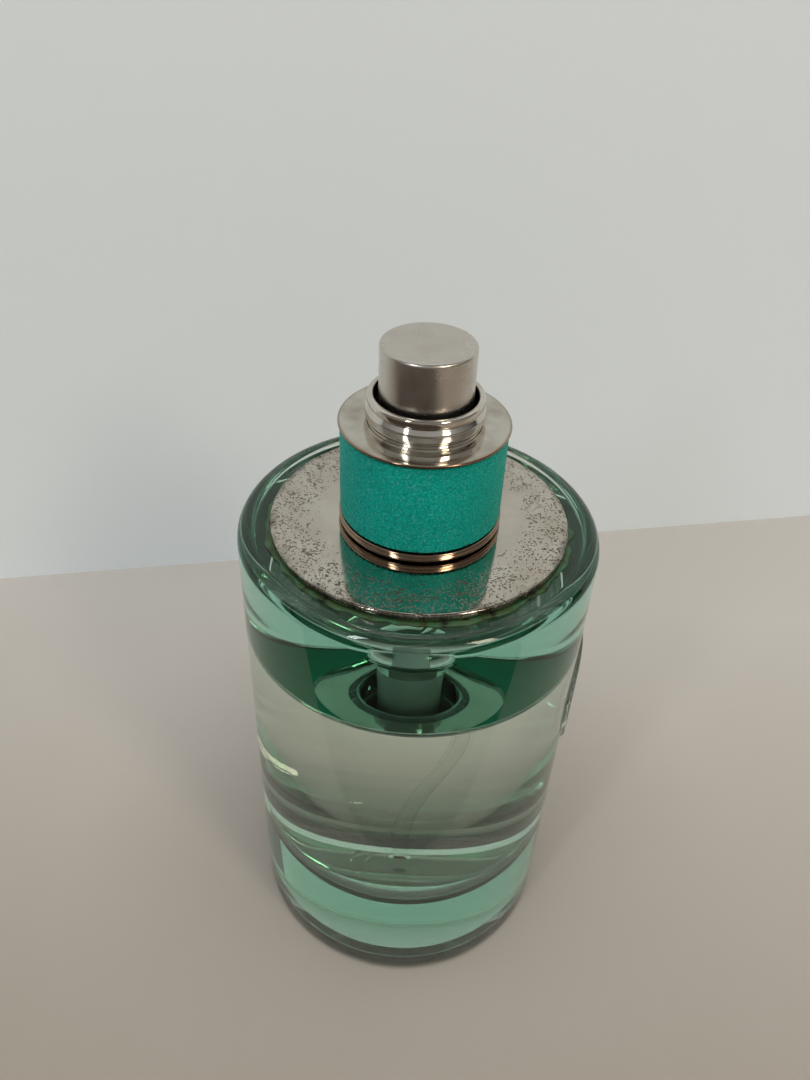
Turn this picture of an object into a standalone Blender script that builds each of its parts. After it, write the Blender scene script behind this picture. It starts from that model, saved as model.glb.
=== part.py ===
"""Glass perfume bottle with a crimped spray pump, a shoulder plate and a banded collar.

Metres, +Z up. The origin is the centre of the base, on the axis that every piece shares.
Each piece is turned from a profile of (radius, height) points that runs up its inner side,
over its top and down its outer side.
"""

import math

import bmesh
import bpy
import numpy as np
from mathutils import Matrix

# Fits that pieces share.
CLEARANCE = 0.0003
SNAP_CLEARANCE = 0.0001

# Glass bottle.
GLASS_RADIUS = 0.0270
GLASS_HEIGHT = 0.0846
GLASS_WALL = 0.0038
BASE_THICKNESS = 0.0140
BASE_CORNER = 0.0020
STANDING_RING = 0.0050
PUNT_DEPTH = 0.0010
PUNT_SLOPE = 0.0030
CAVITY_BOWL = 0.0130
CAVITY_ROOF_CORNER = 0.0045
SHOULDER_THICKNESS = 0.0067
RIM_WIDTH = 0.0026
RIM_DEPTH = 0.0009
RIM_OUTER_ROUND = 0.0020
RIM_INNER_ROUND = 0.0006
NECK_RADIUS = 0.0067
NECK_HEIGHT = 0.01135
NECK_BEAD_RADIUS = 0.0075
NECK_BEAD_HEIGHT = 0.0030
MOUTH_RADIUS = 0.0049
MOUTH_ROUND = 0.0006

# Plain raised medallion on the side of the glass.
MEDALLION_WIDTH = 0.0200
MEDALLION_TALL = 0.0245
MEDALLION_PROUD = 0.00065
MEDALLION_HEIGHT = 0.0530

# Liquid.
LIQUID_LEVEL = 0.0640

# Metal plate on the shoulder.
PLATE_RADIUS = 0.02215
PLATE_THICKNESS = 0.0012
PLATE_EDGE_ROUND = 0.0004
PLATE_HOLE_MARGIN = 0.0005

# Crimp ferrule and the stack that it holds on the mouth.
FERRULE_WALL = 0.0005
FERRULE_CURL = 0.0006
GASKET_THICKNESS = 0.0010
HOUSING_FLANGE = 0.0012
TURRET_FLANGE = 0.0008

# Step collar, whose ring stands out of the outer collar and holds a cap.
STEP_WALL = 0.00045
STEP_SKIRT = 0.0128
RING_HOLE = 0.0071
RING_RADIUS = 0.0080
RING_FOOT = 0.0007
RING_BEAD = 0.0003
RING_BEAD_HEIGHT = 0.0018
RING_HEIGHT = 0.0041
RING_GROOVE = 0.0002

# Liner, outer collar and the band round it.
LINER_WALL = 0.0008
LINER_SLOTS = 6
LINER_SLOT_WIDTH = 0.0014
LINER_SLOT_DEPTH = 0.0070
COLLAR_WALL = 0.0005
COLLAR_TOP_WALL = 0.0007
COLLAR_LIP_HEIGHT = 0.0013
COLLAR_LIP_PROUD = 0.00015
COLLAR_FLANGE_EDGE = 0.00045
COLLAR_FLANGE_PROUD = 0.0003
BAND_THICKNESS = 0.0005
BAND_SOFT_EDGE = 0.00017

# Pump.
PUMP_TRAVEL = 0.0032
HOUSING_RADIUS = 0.0044
HOUSING_BORE = 0.0033
SPRING_LEDGE = 0.0760
BALL_RADIUS = 0.0011
BALL_CHAMBER_RADIUS = 0.0015
BALL_CHAMBER_HEIGHT = 0.0028
BALL_LIP_HOLE = 0.0009
BALL_LIP_THICKNESS = 0.0007
INLET_RADIUS = 0.0006
INLET_LENGTH = 0.0010
TUBE_SOCKET_DEPTH = 0.0051
TUBE_SOCKET_WALL = 0.00085
TURRET_NECK_RADIUS = 0.0042
TURRET_NECK_HEIGHT = 0.0021
TURRET_PLUG = 0.0032
STEM_RADIUS = 0.0020
STEM_BORE = 0.0006
STEM_FLANGE = 0.0012
STEM_NOSE_RADIUS = 0.0016
STEM_NOSE_LENGTH = 0.0046
STEM_ABOVE_TURRET = 0.0072
SEAL_THICKNESS = 0.0006
PISTON_HEIGHT = 0.0037
PISTON_WAIST = 0.0006
PISTON_LIP = 0.0008
VALVE_BORE = 0.0010
VALVE_BORE_DEPTH = 0.0032
POPPET_RADIUS = 0.0027
POPPET_FLANGE = 0.0008
POPPET_PIN_LENGTH = 0.0026
POPPET_TIP = 0.0007
SPRING_WIRE = 0.0005
SPRING_RADIUS = 0.0024
SPRING_TURNS = 6
SPRING_POINTS_PER_TURN = 9

# Dip tube: it hangs from the housing, bows quickly to one side and comes slowly back.
# The bow peaks at a share of the way down; a power of that share gives its rise.
TUBE_RADIUS = 0.00115
TUBE_BORE = 0.0007
TUBE_FLOOR_GAP = 0.0020
TUBE_STRAIGHT = 0.0010
TUBE_BOW = 0.0058
TUBE_PEAK = 0.3
TUBE_RISE = 1.5
TUBE_RINGS = 20

# Actuator.
ACTUATOR_RADIUS = 0.0065
ACTUATOR_HEIGHT = 0.00945
ACTUATOR_WALL = 0.00035
ACTUATOR_EDGE_ROUND = 0.0005
ACTUATOR_DROP_GAP = 0.0004
CORE_WALL = 0.0009
CORE_RISE = 0.00055
CORE_POST_RADIUS = 0.0032
CORE_POST_GAP = 0.0008
CORE_CEILING = 0.0010
NOZZLE_RADIUS = 0.0015
NOZZLE_DROP = 0.0034
NOZZLE_LENGTH = 0.0016
NOZZLE_ORIFICE = 0.0003
NOZZLE_DISH = 0.0007
SPRAY_CHANNEL_RADIUS = 0.0005

# Facets round each family of pieces.
GLASS_STEPS = 44
COLLAR_STEPS = 32
PUMP_STEPS = 16
CORE_STEPS = 19
ARC_STEPS = 3
BOWL_STEPS = 6
BALL_SEGMENTS = 14
BALL_RINGS = 8
TUBE_BEVEL_STEPS = 2
WIRE_BEVEL_STEPS = 1
SHARP_ANGLE = math.radians(30.0)
MERGE = 0.00001

# Heights that follow from the sizes above, from the base upwards.
CAVITY_RADIUS = GLASS_RADIUS - GLASS_WALL
SHOULDER_TOP = GLASS_HEIGHT - RIM_DEPTH
CAVITY_ROOF = SHOULDER_TOP - SHOULDER_THICKNESS
RECESS_RADIUS = GLASS_RADIUS - RIM_WIDTH
MOUTH = SHOULDER_TOP + NECK_HEIGHT
BEAD_BOTTOM = MOUTH - NECK_BEAD_HEIGHT
PLATE_BOTTOM = SHOULDER_TOP + CLEARANCE
PLATE_TOP = PLATE_BOTTOM + PLATE_THICKNESS
GASKET_BOTTOM = MOUTH + CLEARANCE
GASKET_TOP = GASKET_BOTTOM + GASKET_THICKNESS
HOUSING_FLANGE_BOTTOM = GASKET_TOP + CLEARANCE
HOUSING_TOP = HOUSING_FLANGE_BOTTOM + HOUSING_FLANGE
TURRET_BOTTOM = HOUSING_TOP + CLEARANCE
TURRET_FLANGE_TOP = TURRET_BOTTOM + TURRET_FLANGE
TURRET_TOP = TURRET_FLANGE_TOP + TURRET_NECK_HEIGHT
FERRULE_ROOF = TURRET_FLANGE_TOP + CLEARANCE
FERRULE_TOP = FERRULE_ROOF + FERRULE_WALL
STEP_ROOF = FERRULE_TOP + CLEARANCE
STEP_TOP = STEP_ROOF + STEP_WALL
COLLAR_ROOF = STEP_TOP + CLEARANCE
COLLAR_TOP = COLLAR_ROOF + COLLAR_TOP_WALL
COLLAR_BOTTOM = PLATE_TOP + CLEARANCE
RING_TOP = COLLAR_TOP + RING_HEIGHT

# Radii that nest outwards from the bead of the glass neck.
FERRULE_BORE = NECK_BEAD_RADIUS + CLEARANCE
FERRULE_RADIUS = FERRULE_BORE + FERRULE_WALL
STEP_BORE = FERRULE_RADIUS + CLEARANCE
STEP_RADIUS = STEP_BORE + STEP_WALL
LINER_BORE = STEP_RADIUS + CLEARANCE
LINER_RADIUS = LINER_BORE + LINER_WALL
COLLAR_BORE = LINER_RADIUS + CLEARANCE
BAND_SEAT_RADIUS = COLLAR_BORE + COLLAR_WALL
BAND_BORE = BAND_SEAT_RADIUS + CLEARANCE
BAND_RADIUS = BAND_BORE + BAND_THICKNESS
COLLAR_LIP_RADIUS = BAND_RADIUS + COLLAR_LIP_PROUD
COLLAR_FLANGE_RADIUS = BAND_RADIUS + COLLAR_FLANGE_PROUD
STACK_RADIUS = FERRULE_BORE - CLEARANCE

# Heights inside the pump, from the turret downwards.
PLUG_RADIUS = HOUSING_BORE - CLEARANCE
PLUG_BOTTOM = TURRET_BOTTOM - TURRET_PLUG
SEAL_TOP = PLUG_BOTTOM - CLEARANCE
SEAL_BOTTOM = SEAL_TOP - SEAL_THICKNESS
STEM_FLANGE_TOP = SEAL_BOTTOM - CLEARANCE
STEM_FLANGE_BOTTOM = STEM_FLANGE_TOP - STEM_FLANGE
STEM_BOTTOM = STEM_FLANGE_BOTTOM - STEM_NOSE_LENGTH
STEM_TOP = TURRET_TOP + STEM_ABOVE_TURRET
PISTON_TOP = STEM_FLANGE_BOTTOM - CLEARANCE
PISTON_BOTTOM = PISTON_TOP - PISTON_HEIGHT
POPPET_TOP = STEM_BOTTOM - CLEARANCE
POPPET_BOTTOM = POPPET_TOP - POPPET_FLANGE
SPRING_TOP = POPPET_BOTTOM - CLEARANCE
SPRING_BOTTOM = SPRING_LEDGE + CLEARANCE
BALL_CHAMBER_TOP = SPRING_LEDGE - BALL_LIP_THICKNESS
BALL_CHAMBER_BOTTOM = BALL_CHAMBER_TOP - BALL_CHAMBER_HEIGHT
SEAT_BOTTOM = BALL_CHAMBER_BOTTOM - (BALL_CHAMBER_RADIUS - INLET_RADIUS)
BALL_CENTRE = SEAT_BOTTOM - INLET_RADIUS + math.sqrt(2.0) * (BALL_RADIUS + CLEARANCE)
TUBE_SOCKET_RADIUS = TUBE_RADIUS + CLEARANCE
TUBE_SOCKET_TOP = SEAT_BOTTOM - INLET_LENGTH
HOUSING_BOTTOM = TUBE_SOCKET_TOP - TUBE_SOCKET_DEPTH
NIPPLE_RADIUS = TUBE_SOCKET_RADIUS + TUBE_SOCKET_WALL
TUBE_TOP = TUBE_SOCKET_TOP - CLEARANCE
TUBE_END = BASE_THICKNESS + TUBE_FLOOR_GAP
TUBE_FALL = TUBE_RISE * (1.0 - TUBE_PEAK) / TUBE_PEAK

# Heights of the actuator, whose skirt clears the ferrule at full travel.
ACTUATOR_BOTTOM = FERRULE_TOP + ACTUATOR_DROP_GAP + PUMP_TRAVEL
ACTUATOR_TOP = ACTUATOR_BOTTOM + ACTUATOR_HEIGHT
SHELL_BORE = ACTUATOR_RADIUS - ACTUATOR_WALL
CORE_RADIUS = SHELL_BORE - CLEARANCE
CORE_BORE = CORE_RADIUS - CORE_WALL
CORE_BOTTOM = ACTUATOR_BOTTOM + CORE_RISE
CORE_TOP = ACTUATOR_TOP - ACTUATOR_WALL - CLEARANCE
CORE_ROOF = CORE_TOP - CORE_CEILING
POST_BOTTOM = TURRET_TOP + PUMP_TRAVEL + CORE_POST_GAP
SOCKET_RADIUS = STEM_RADIUS + CLEARANCE
SOCKET_TOP = STEM_TOP + CLEARANCE
NOZZLE_HEIGHT = ACTUATOR_TOP - NOZZLE_DROP
NOZZLE_BORE = NOZZLE_RADIUS + CLEARANCE
NOZZLE_FACE = math.sqrt(SHELL_BORE**2 - NOZZLE_RADIUS**2) - CLEARANCE


def clear_scene():
    for obj in list(bpy.data.objects):
        bpy.data.objects.remove(obj)


def new_collection(name):
    collection = bpy.data.collections.new(name)
    bpy.context.scene.collection.children.link(collection)
    return collection


def finish(name, colour, roughness, metallic=0.0, transmission=0.0):
    """A Principled material with the piece's own colour."""
    material = bpy.data.materials.new(name)
    material.use_nodes = True
    shader = material.node_tree.nodes["Principled BSDF"]
    shader.inputs["Base Color"].default_value = (*colour, 1.0)
    shader.inputs["Roughness"].default_value = roughness
    shader.inputs["Metallic"].default_value = metallic
    shader.inputs["Transmission Weight"].default_value = transmission
    return material


def arc(centre, radius, start, end, steps=ARC_STEPS):
    """Points of an arc in the profile plane, from start to end in degrees."""
    angles = np.radians(np.linspace(start, end, steps + 1))
    return [(centre[0] + radius * math.cos(a), centre[1] + radius * math.sin(a)) for a in angles]


def smooth(mesh):
    mesh.shade_smooth()
    mesh.set_sharp_from_angle(angle=SHARP_ANGLE)


def height_of(holder):
    """Height above the base of an empty, through the empties that carry it."""
    return holder.location.z + (height_of(holder.parent) if holder.parent else 0.0)


def place(obj, parent, seat):
    obj.parent = parent
    obj.location.z = seat - height_of(parent)


def empty(name, height, parent=None):
    """An empty on the bottle's axis that carries one body's pieces."""
    holder = bpy.data.objects.new(name, None)
    parts.objects.link(holder)
    holder.location.z = height
    if parent:
        place(holder, parent, height)
    return holder


def turned(name, profile, steps, collection, closed=True):
    """Turns a profile about Z; its heights count from its lowest point, which is its seat."""
    seat = min(z for _, z in profile)
    mesh = bpy.data.meshes.new(name)
    ends = list(zip(range(len(profile) - 1), range(1, len(profile))))
    if closed:
        ends.append((len(profile) - 1, 0))
    mesh.from_pydata([(r, 0.0, z - seat) for r, z in profile], ends, [])
    obj = bpy.data.objects.new(name, mesh)
    collection.objects.link(obj)
    screw = obj.modifiers.new("turn", "SCREW")
    screw.steps = steps
    screw.render_steps = steps
    screw.use_merge_vertices = True
    screw.merge_threshold = MERGE
    screw.use_smooth_shade = True
    obj.location.z = seat
    return obj


def piece(name, profile, steps, parent, material, closed=True):
    """A turned sub-part, standing at its seat under its body's empty."""
    obj = turned(name, profile, steps, parts, closed)
    place(obj, parent, obj.location.z)
    obj.data.materials.append(material)
    return obj


def cutter(obj):
    obj.hide_render = True
    obj.display_type = "WIRE"
    return obj


def combine(obj, other, operation):
    change = obj.modifiers.new(other.name, "BOOLEAN")
    change.operation = operation
    change.solver = "EXACT"
    change.object = other
    return change


def cylinder(name, radius, length, steps):
    """A cylinder along Z about its own centre, kept with the cutters."""
    bm = bmesh.new()
    bmesh.ops.create_cone(
        bm, cap_ends=True, segments=steps, radius1=radius, radius2=radius, depth=length
    )
    mesh = bpy.data.meshes.new(name)
    bm.to_mesh(mesh)
    bm.free()
    obj = bpy.data.objects.new(name, mesh)
    cutters.objects.link(obj)
    return cutter(obj)


def box(name, size):
    bm = bmesh.new()
    bmesh.ops.create_cube(bm, size=1.0)
    bmesh.ops.scale(bm, vec=size, verts=bm.verts)
    mesh = bpy.data.meshes.new(name)
    bm.to_mesh(mesh)
    bm.free()
    obj = bpy.data.objects.new(name, mesh)
    cutters.objects.link(obj)
    return cutter(obj)


def pipe(name, points, radius, bevel_steps, collection):
    """A closed tube along points: a bevelled curve made into a mesh with its caps welded."""
    curve = bpy.data.curves.new(name, "CURVE")
    curve.dimensions = "3D"
    curve.bevel_depth = radius
    curve.bevel_resolution = bevel_steps
    curve.use_fill_caps = True
    spline = curve.splines.new("POLY")
    spline.points.add(len(points) - 1)
    for point, place_at in zip(spline.points, points):
        point.co = (*place_at, 1.0)
    guide = bpy.data.objects.new(name + "_route", curve)
    collection.objects.link(guide)
    graph = bpy.context.evaluated_depsgraph_get()
    mesh = bpy.data.meshes.new_from_object(guide.evaluated_get(graph))
    bpy.data.objects.remove(guide)
    bm = bmesh.new()
    bm.from_mesh(mesh)
    bmesh.ops.remove_doubles(bm, verts=bm.verts, dist=MERGE)
    bmesh.ops.recalc_face_normals(bm, faces=bm.faces)
    bm.to_mesh(mesh)
    bm.free()
    mesh.name = name
    obj = bpy.data.objects.new(name, mesh)
    collection.objects.link(obj)
    return obj


def glass_profile():
    """Up the cavity, out of the mouth, down the neck, over the rim and down to the base."""
    bowl_centre = (CAVITY_RADIUS - CAVITY_BOWL, BASE_THICKNESS + CAVITY_BOWL)
    roof_arc_radius = CAVITY_RADIUS - CAVITY_ROOF_CORNER
    crown_radius = GLASS_RADIUS - RIM_OUTER_ROUND
    inner_crown = RECESS_RADIUS + RIM_INNER_ROUND
    neck_step = NECK_BEAD_RADIUS - NECK_RADIUS
    ring_inner = GLASS_RADIUS - BASE_CORNER - STANDING_RING
    return [
        (0.0, BASE_THICKNESS),
        *arc(bowl_centre, CAVITY_BOWL, -90, 0, BOWL_STEPS),
        *arc((roof_arc_radius, CAVITY_ROOF - CAVITY_ROOF_CORNER), CAVITY_ROOF_CORNER, 0, 90),
        (MOUTH_RADIUS + MOUTH_ROUND, CAVITY_ROOF),
        (MOUTH_RADIUS, CAVITY_ROOF + MOUTH_ROUND),
        (MOUTH_RADIUS, MOUTH - MOUTH_ROUND),
        (MOUTH_RADIUS + MOUTH_ROUND, MOUTH),
        (NECK_BEAD_RADIUS - MOUTH_ROUND, MOUTH),
        (NECK_BEAD_RADIUS, MOUTH - MOUTH_ROUND),
        (NECK_BEAD_RADIUS, BEAD_BOTTOM),
        (NECK_RADIUS, BEAD_BOTTOM - neck_step),
        (NECK_RADIUS, SHOULDER_TOP),
        (RECESS_RADIUS, SHOULDER_TOP),
        *arc((inner_crown, GLASS_HEIGHT - RIM_INNER_ROUND), RIM_INNER_ROUND, 180, 90),
        *arc((crown_radius, GLASS_HEIGHT - RIM_OUTER_ROUND), RIM_OUTER_ROUND, 90, 0),
        *arc((GLASS_RADIUS - BASE_CORNER, BASE_CORNER), BASE_CORNER, 0, -90),
        (ring_inner, 0.0),
        (ring_inner - PUNT_SLOPE, PUNT_DEPTH),
        (0.0, PUNT_DEPTH),
    ]


def make_medallion():
    """An oval cut from a ring of glass that is a little wider than the bottle."""
    half = MEDALLION_TALL / 2.0
    ring_radius = GLASS_RADIUS + MEDALLION_PROUD
    ring_bore = GLASS_RADIUS - BASE_CORNER
    ring = [
        (ring_bore, MEDALLION_HEIGHT - half - BASE_CORNER),
        (ring_bore, MEDALLION_HEIGHT + half + BASE_CORNER),
        (ring_radius, MEDALLION_HEIGHT + half + BASE_CORNER),
        (ring_radius, MEDALLION_HEIGHT - half - BASE_CORNER),
    ]
    medallion = cutter(turned("medallion", ring, GLASS_STEPS, cutters))
    oval = cylinder("medallion_outline", half, GLASS_RADIUS, COLLAR_STEPS)
    oval.data.transform(Matrix.Diagonal((1.0, MEDALLION_WIDTH / MEDALLION_TALL, 1.0, 1.0)))
    oval.rotation_euler.y = math.radians(90.0)
    oval.location = (GLASS_RADIUS, 0.0, MEDALLION_HEIGHT)
    combine(medallion, oval, "INTERSECT")
    return medallion


def make_glass(parent):
    glass = piece("glass_bottle", glass_profile(), GLASS_STEPS, parent, tinted_glass, closed=False)
    combine(glass, make_medallion(), "UNION")


def tube_points():
    """The dip tube's centre line: straight in its socket, then bowed out and back."""
    top = HOUSING_BOTTOM - TUBE_STRAIGHT
    points = [(0.0, 0.0, TUBE_TOP)]
    for share in np.linspace(0.0, 1.0, TUBE_RINGS):
        rise = (share / TUBE_PEAK) ** TUBE_RISE
        fall = ((1.0 - share) / (1.0 - TUBE_PEAK)) ** TUBE_FALL
        points.append((TUBE_BOW * rise * fall, 0.0, top + (TUBE_END - top) * share))
    return points


def make_dip_tube(parent):
    route = tube_points()
    beyond = TUBE_RADIUS
    tube = pipe("dip_tube", route, TUBE_RADIUS, TUBE_BEVEL_STEPS, parts)
    place(tube, parent, 0.0)
    tube.data.materials.append(clear_plastic)
    first, last = np.array(route[0]), np.array(route[-1])
    run_out = last + (last - np.array(route[-2])) / np.linalg.norm(last - np.array(route[-2])) * beyond
    bore_route = [tuple(first + (0.0, 0.0, beyond)), *route[1:-1], tuple(run_out)]
    bore = cutter(pipe("dip_tube_bore", bore_route, TUBE_BORE, WIRE_BEVEL_STEPS, cutters))
    combine(tube, bore, "DIFFERENCE")
    smooth(tube.data)


def make_liquid(parent):
    """Fills the cavity to its level, standing off the glass, the housing and the dip tube."""
    floor = BASE_THICKNESS + CLEARANCE
    radius = CAVITY_RADIUS - CLEARANCE
    bowl = CAVITY_BOWL - CLEARANCE
    profile = [
        (0.0, LIQUID_LEVEL),
        (radius, LIQUID_LEVEL),
        *arc((radius - bowl, floor + bowl), bowl, 0, -90, BOWL_STEPS),
        (0.0, floor),
    ]
    liquid = piece("perfume", profile, GLASS_STEPS, parent, perfume_liquid, closed=False)
    room_radius = TUBE_RADIUS + CLEARANCE
    channel = cutter(pipe("tube_channel", tube_points(), room_radius, TUBE_BEVEL_STEPS, cutters))
    combine(liquid, channel, "DIFFERENCE")
    nipple_room = cylinder(
        "nipple_room", HOUSING_RADIUS + CLEARANCE, CAVITY_ROOF - HOUSING_BOTTOM, PUMP_STEPS
    )
    nipple_room.location.z = (CAVITY_ROOF + HOUSING_BOTTOM) / 2.0 - CLEARANCE
    combine(liquid, nipple_room, "DIFFERENCE")


def make_plate(parent):
    hole = NECK_BEAD_RADIUS + PLATE_HOLE_MARGIN
    edge = PLATE_RADIUS - PLATE_EDGE_ROUND
    profile = [
        (hole, PLATE_BOTTOM),
        (hole, PLATE_TOP),
        *arc((edge, PLATE_TOP - PLATE_EDGE_ROUND), PLATE_EDGE_ROUND, 90, 0),
        *arc((edge, PLATE_BOTTOM + PLATE_EDGE_ROUND), PLATE_EDGE_ROUND, 0, -90),
    ]
    piece("shoulder_plate", profile, GLASS_STEPS, parent, pitted_nickel)


def make_ferrule(parent):
    """A cup over the neck bead, with its lower edge curled in under the bead."""
    curl_bore = NECK_RADIUS + FERRULE_WALL
    curl_top = BEAD_BOTTOM - (NECK_BEAD_RADIUS - NECK_RADIUS)
    curl_bottom = curl_top - FERRULE_WALL
    hole = TURRET_NECK_RADIUS + CLEARANCE
    profile = [
        (curl_bore, curl_bottom),
        (curl_bore, curl_top),
        (FERRULE_BORE, curl_top + FERRULE_CURL),
        (FERRULE_BORE, FERRULE_ROOF),
        (hole, FERRULE_ROOF),
        (hole, FERRULE_TOP),
        (FERRULE_RADIUS - FERRULE_WALL, FERRULE_TOP),
        (FERRULE_RADIUS, FERRULE_TOP - FERRULE_WALL),
        (FERRULE_RADIUS, curl_top),
        (FERRULE_RADIUS - FERRULE_WALL, curl_bottom),
    ]
    piece("crimp_ferrule", profile, COLLAR_STEPS, parent, bare_aluminium)


def make_gasket(parent):
    profile = [
        (MOUTH_RADIUS, GASKET_BOTTOM),
        (MOUTH_RADIUS, GASKET_TOP),
        (STACK_RADIUS, GASKET_TOP),
        (STACK_RADIUS, GASKET_BOTTOM),
    ]
    piece("neck_gasket", profile, COLLAR_STEPS, parent, gasket_rubber)


def make_step_collar(parent):
    """A skirt over the ferrule that narrows to the beaded ring a cap snaps on."""
    skirt_bottom = STEP_TOP - STEP_SKIRT
    bead = RING_RADIUS + RING_BEAD
    crown_round = (RING_RADIUS - RING_HOLE) / 2.0
    bead_low = COLLAR_TOP + RING_FOOT
    bead_high = bead_low + RING_BEAD_HEIGHT
    bead_middle = (bead_low + bead_high) / 2.0
    groove = bead_high + RING_GROOVE
    profile = [
        (STEP_BORE, skirt_bottom),
        (STEP_BORE, STEP_ROOF),
        (RING_HOLE, STEP_ROOF),
        *arc((RING_HOLE + crown_round, RING_TOP - crown_round), crown_round, 180, 0, 2 * ARC_STEPS),
        (RING_RADIUS, groove),
        (RING_RADIUS - RING_GROOVE, (groove + bead_high) / 2.0),
        (RING_RADIUS, bead_high),
        (bead, bead_middle + RING_BEAD),
        (bead, bead_middle - RING_BEAD),
        (RING_RADIUS, bead_low),
        (RING_RADIUS, STEP_TOP),
        (STEP_RADIUS - STEP_WALL, STEP_TOP),
        (STEP_RADIUS, STEP_TOP - STEP_WALL),
        (STEP_RADIUS, skirt_bottom),
    ]
    piece("step_collar", profile, COLLAR_STEPS, parent, polished_nickel)


def make_liner(parent):
    """A plastic sleeve with slots up from its lower edge, which grips the step collar."""
    top = COLLAR_ROOF - CLEARANCE
    bottom = STEP_TOP - STEP_SKIRT
    profile = [(LINER_BORE, bottom), (LINER_BORE, top), (LINER_RADIUS, top), (LINER_RADIUS, bottom)]
    liner = piece("collar_liner", profile, COLLAR_STEPS, parent, grey_plastic)
    for index in range(LINER_SLOTS // 2):
        slot = box(f"liner_slot_{index}", (4.0 * LINER_RADIUS, LINER_SLOT_WIDTH, 2.0 * LINER_SLOT_DEPTH))
        slot.location.z = bottom
        slot.rotation_euler.z = math.tau * (index + 0.5) / LINER_SLOTS
        combine(liner, slot, "DIFFERENCE")


def make_collar(parent):
    """The outer collar: a lip, a seat for the band and a thin flange that closes over the top."""
    hole = RING_RADIUS + RING_BEAD + SNAP_CLEARANCE
    lip_round = COLLAR_LIP_PROUD
    flange_round = COLLAR_FLANGE_EDGE / 2.0
    lip_top = COLLAR_BOTTOM + COLLAR_LIP_HEIGHT
    flange_centre = (COLLAR_FLANGE_RADIUS - flange_round, COLLAR_TOP - flange_round)
    profile = [
        (COLLAR_BORE, COLLAR_BOTTOM),
        (COLLAR_BORE, COLLAR_ROOF),
        (hole, COLLAR_ROOF),
        (hole, COLLAR_TOP),
        *arc(flange_centre, flange_round, 90, -90),
        (BAND_SEAT_RADIUS, COLLAR_TOP - COLLAR_FLANGE_EDGE),
        (BAND_SEAT_RADIUS, lip_top),
        (COLLAR_LIP_RADIUS - lip_round, lip_top),
        (COLLAR_LIP_RADIUS, lip_top - lip_round),
        (COLLAR_LIP_RADIUS, COLLAR_BOTTOM + lip_round),
        (COLLAR_LIP_RADIUS - lip_round, COLLAR_BOTTOM),
    ]
    piece("outer_collar", profile, COLLAR_STEPS, parent, polished_nickel)


def make_band(parent):
    bottom = COLLAR_BOTTOM + COLLAR_LIP_HEIGHT + CLEARANCE
    top = COLLAR_TOP - COLLAR_FLANGE_EDGE - CLEARANCE
    profile = [
        (BAND_BORE, bottom),
        (BAND_BORE, top),
        (BAND_RADIUS - BAND_SOFT_EDGE, top),
        (BAND_RADIUS, top - BAND_SOFT_EDGE),
        (BAND_RADIUS, bottom + BAND_SOFT_EDGE),
        (BAND_RADIUS - BAND_SOFT_EDGE, bottom),
    ]
    piece("collar_band", profile, COLLAR_STEPS, parent, turquoise_leather)


def make_housing(parent):
    """Flange on the mouth, cylinder for the piston, ball chamber and socket for the dip tube."""
    taper_top = BALL_CHAMBER_TOP
    profile = [
        (TUBE_SOCKET_RADIUS, HOUSING_BOTTOM),
        (TUBE_SOCKET_RADIUS, TUBE_SOCKET_TOP),
        (INLET_RADIUS, TUBE_SOCKET_TOP),
        (INLET_RADIUS, SEAT_BOTTOM),
        (BALL_CHAMBER_RADIUS, BALL_CHAMBER_BOTTOM),
        (BALL_CHAMBER_RADIUS, BALL_CHAMBER_TOP),
        (BALL_LIP_HOLE, BALL_CHAMBER_TOP),
        (BALL_LIP_HOLE, SPRING_LEDGE),
        (HOUSING_BORE, SPRING_LEDGE),
        (HOUSING_BORE, HOUSING_TOP),
        (STACK_RADIUS, HOUSING_TOP),
        (STACK_RADIUS, HOUSING_FLANGE_BOTTOM),
        (HOUSING_RADIUS, HOUSING_FLANGE_BOTTOM),
        (HOUSING_RADIUS, taper_top),
        (NIPPLE_RADIUS, BALL_CHAMBER_BOTTOM),
        (NIPPLE_RADIUS, HOUSING_BOTTOM),
    ]
    piece("pump_housing", profile, PUMP_STEPS, parent, clear_plastic)


def make_turret(parent):
    """Closes the housing, guides the stem and stands up through the ferrule."""
    stem_hole = STEM_RADIUS + CLEARANCE
    profile = [
        (stem_hole, PLUG_BOTTOM),
        (stem_hole, TURRET_TOP),
        (TURRET_NECK_RADIUS - CLEARANCE, TURRET_TOP),
        (TURRET_NECK_RADIUS, TURRET_TOP - CLEARANCE),
        (TURRET_NECK_RADIUS, TURRET_FLANGE_TOP),
        (STACK_RADIUS, TURRET_FLANGE_TOP),
        (STACK_RADIUS, TURRET_BOTTOM),
        (PLUG_RADIUS, TURRET_BOTTOM),
        (PLUG_RADIUS, PLUG_BOTTOM),
    ]
    piece("pump_turret", profile, PUMP_STEPS, parent, white_plastic)


def make_stem_seal(parent):
    bore = STEM_RADIUS + CLEARANCE
    profile = [
        (bore, SEAL_BOTTOM),
        (bore, SEAL_TOP),
        (PLUG_RADIUS, SEAL_TOP),
        (PLUG_RADIUS, SEAL_BOTTOM),
    ]
    piece("stem_seal", profile, PUMP_STEPS, parent, gasket_rubber)


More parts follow.
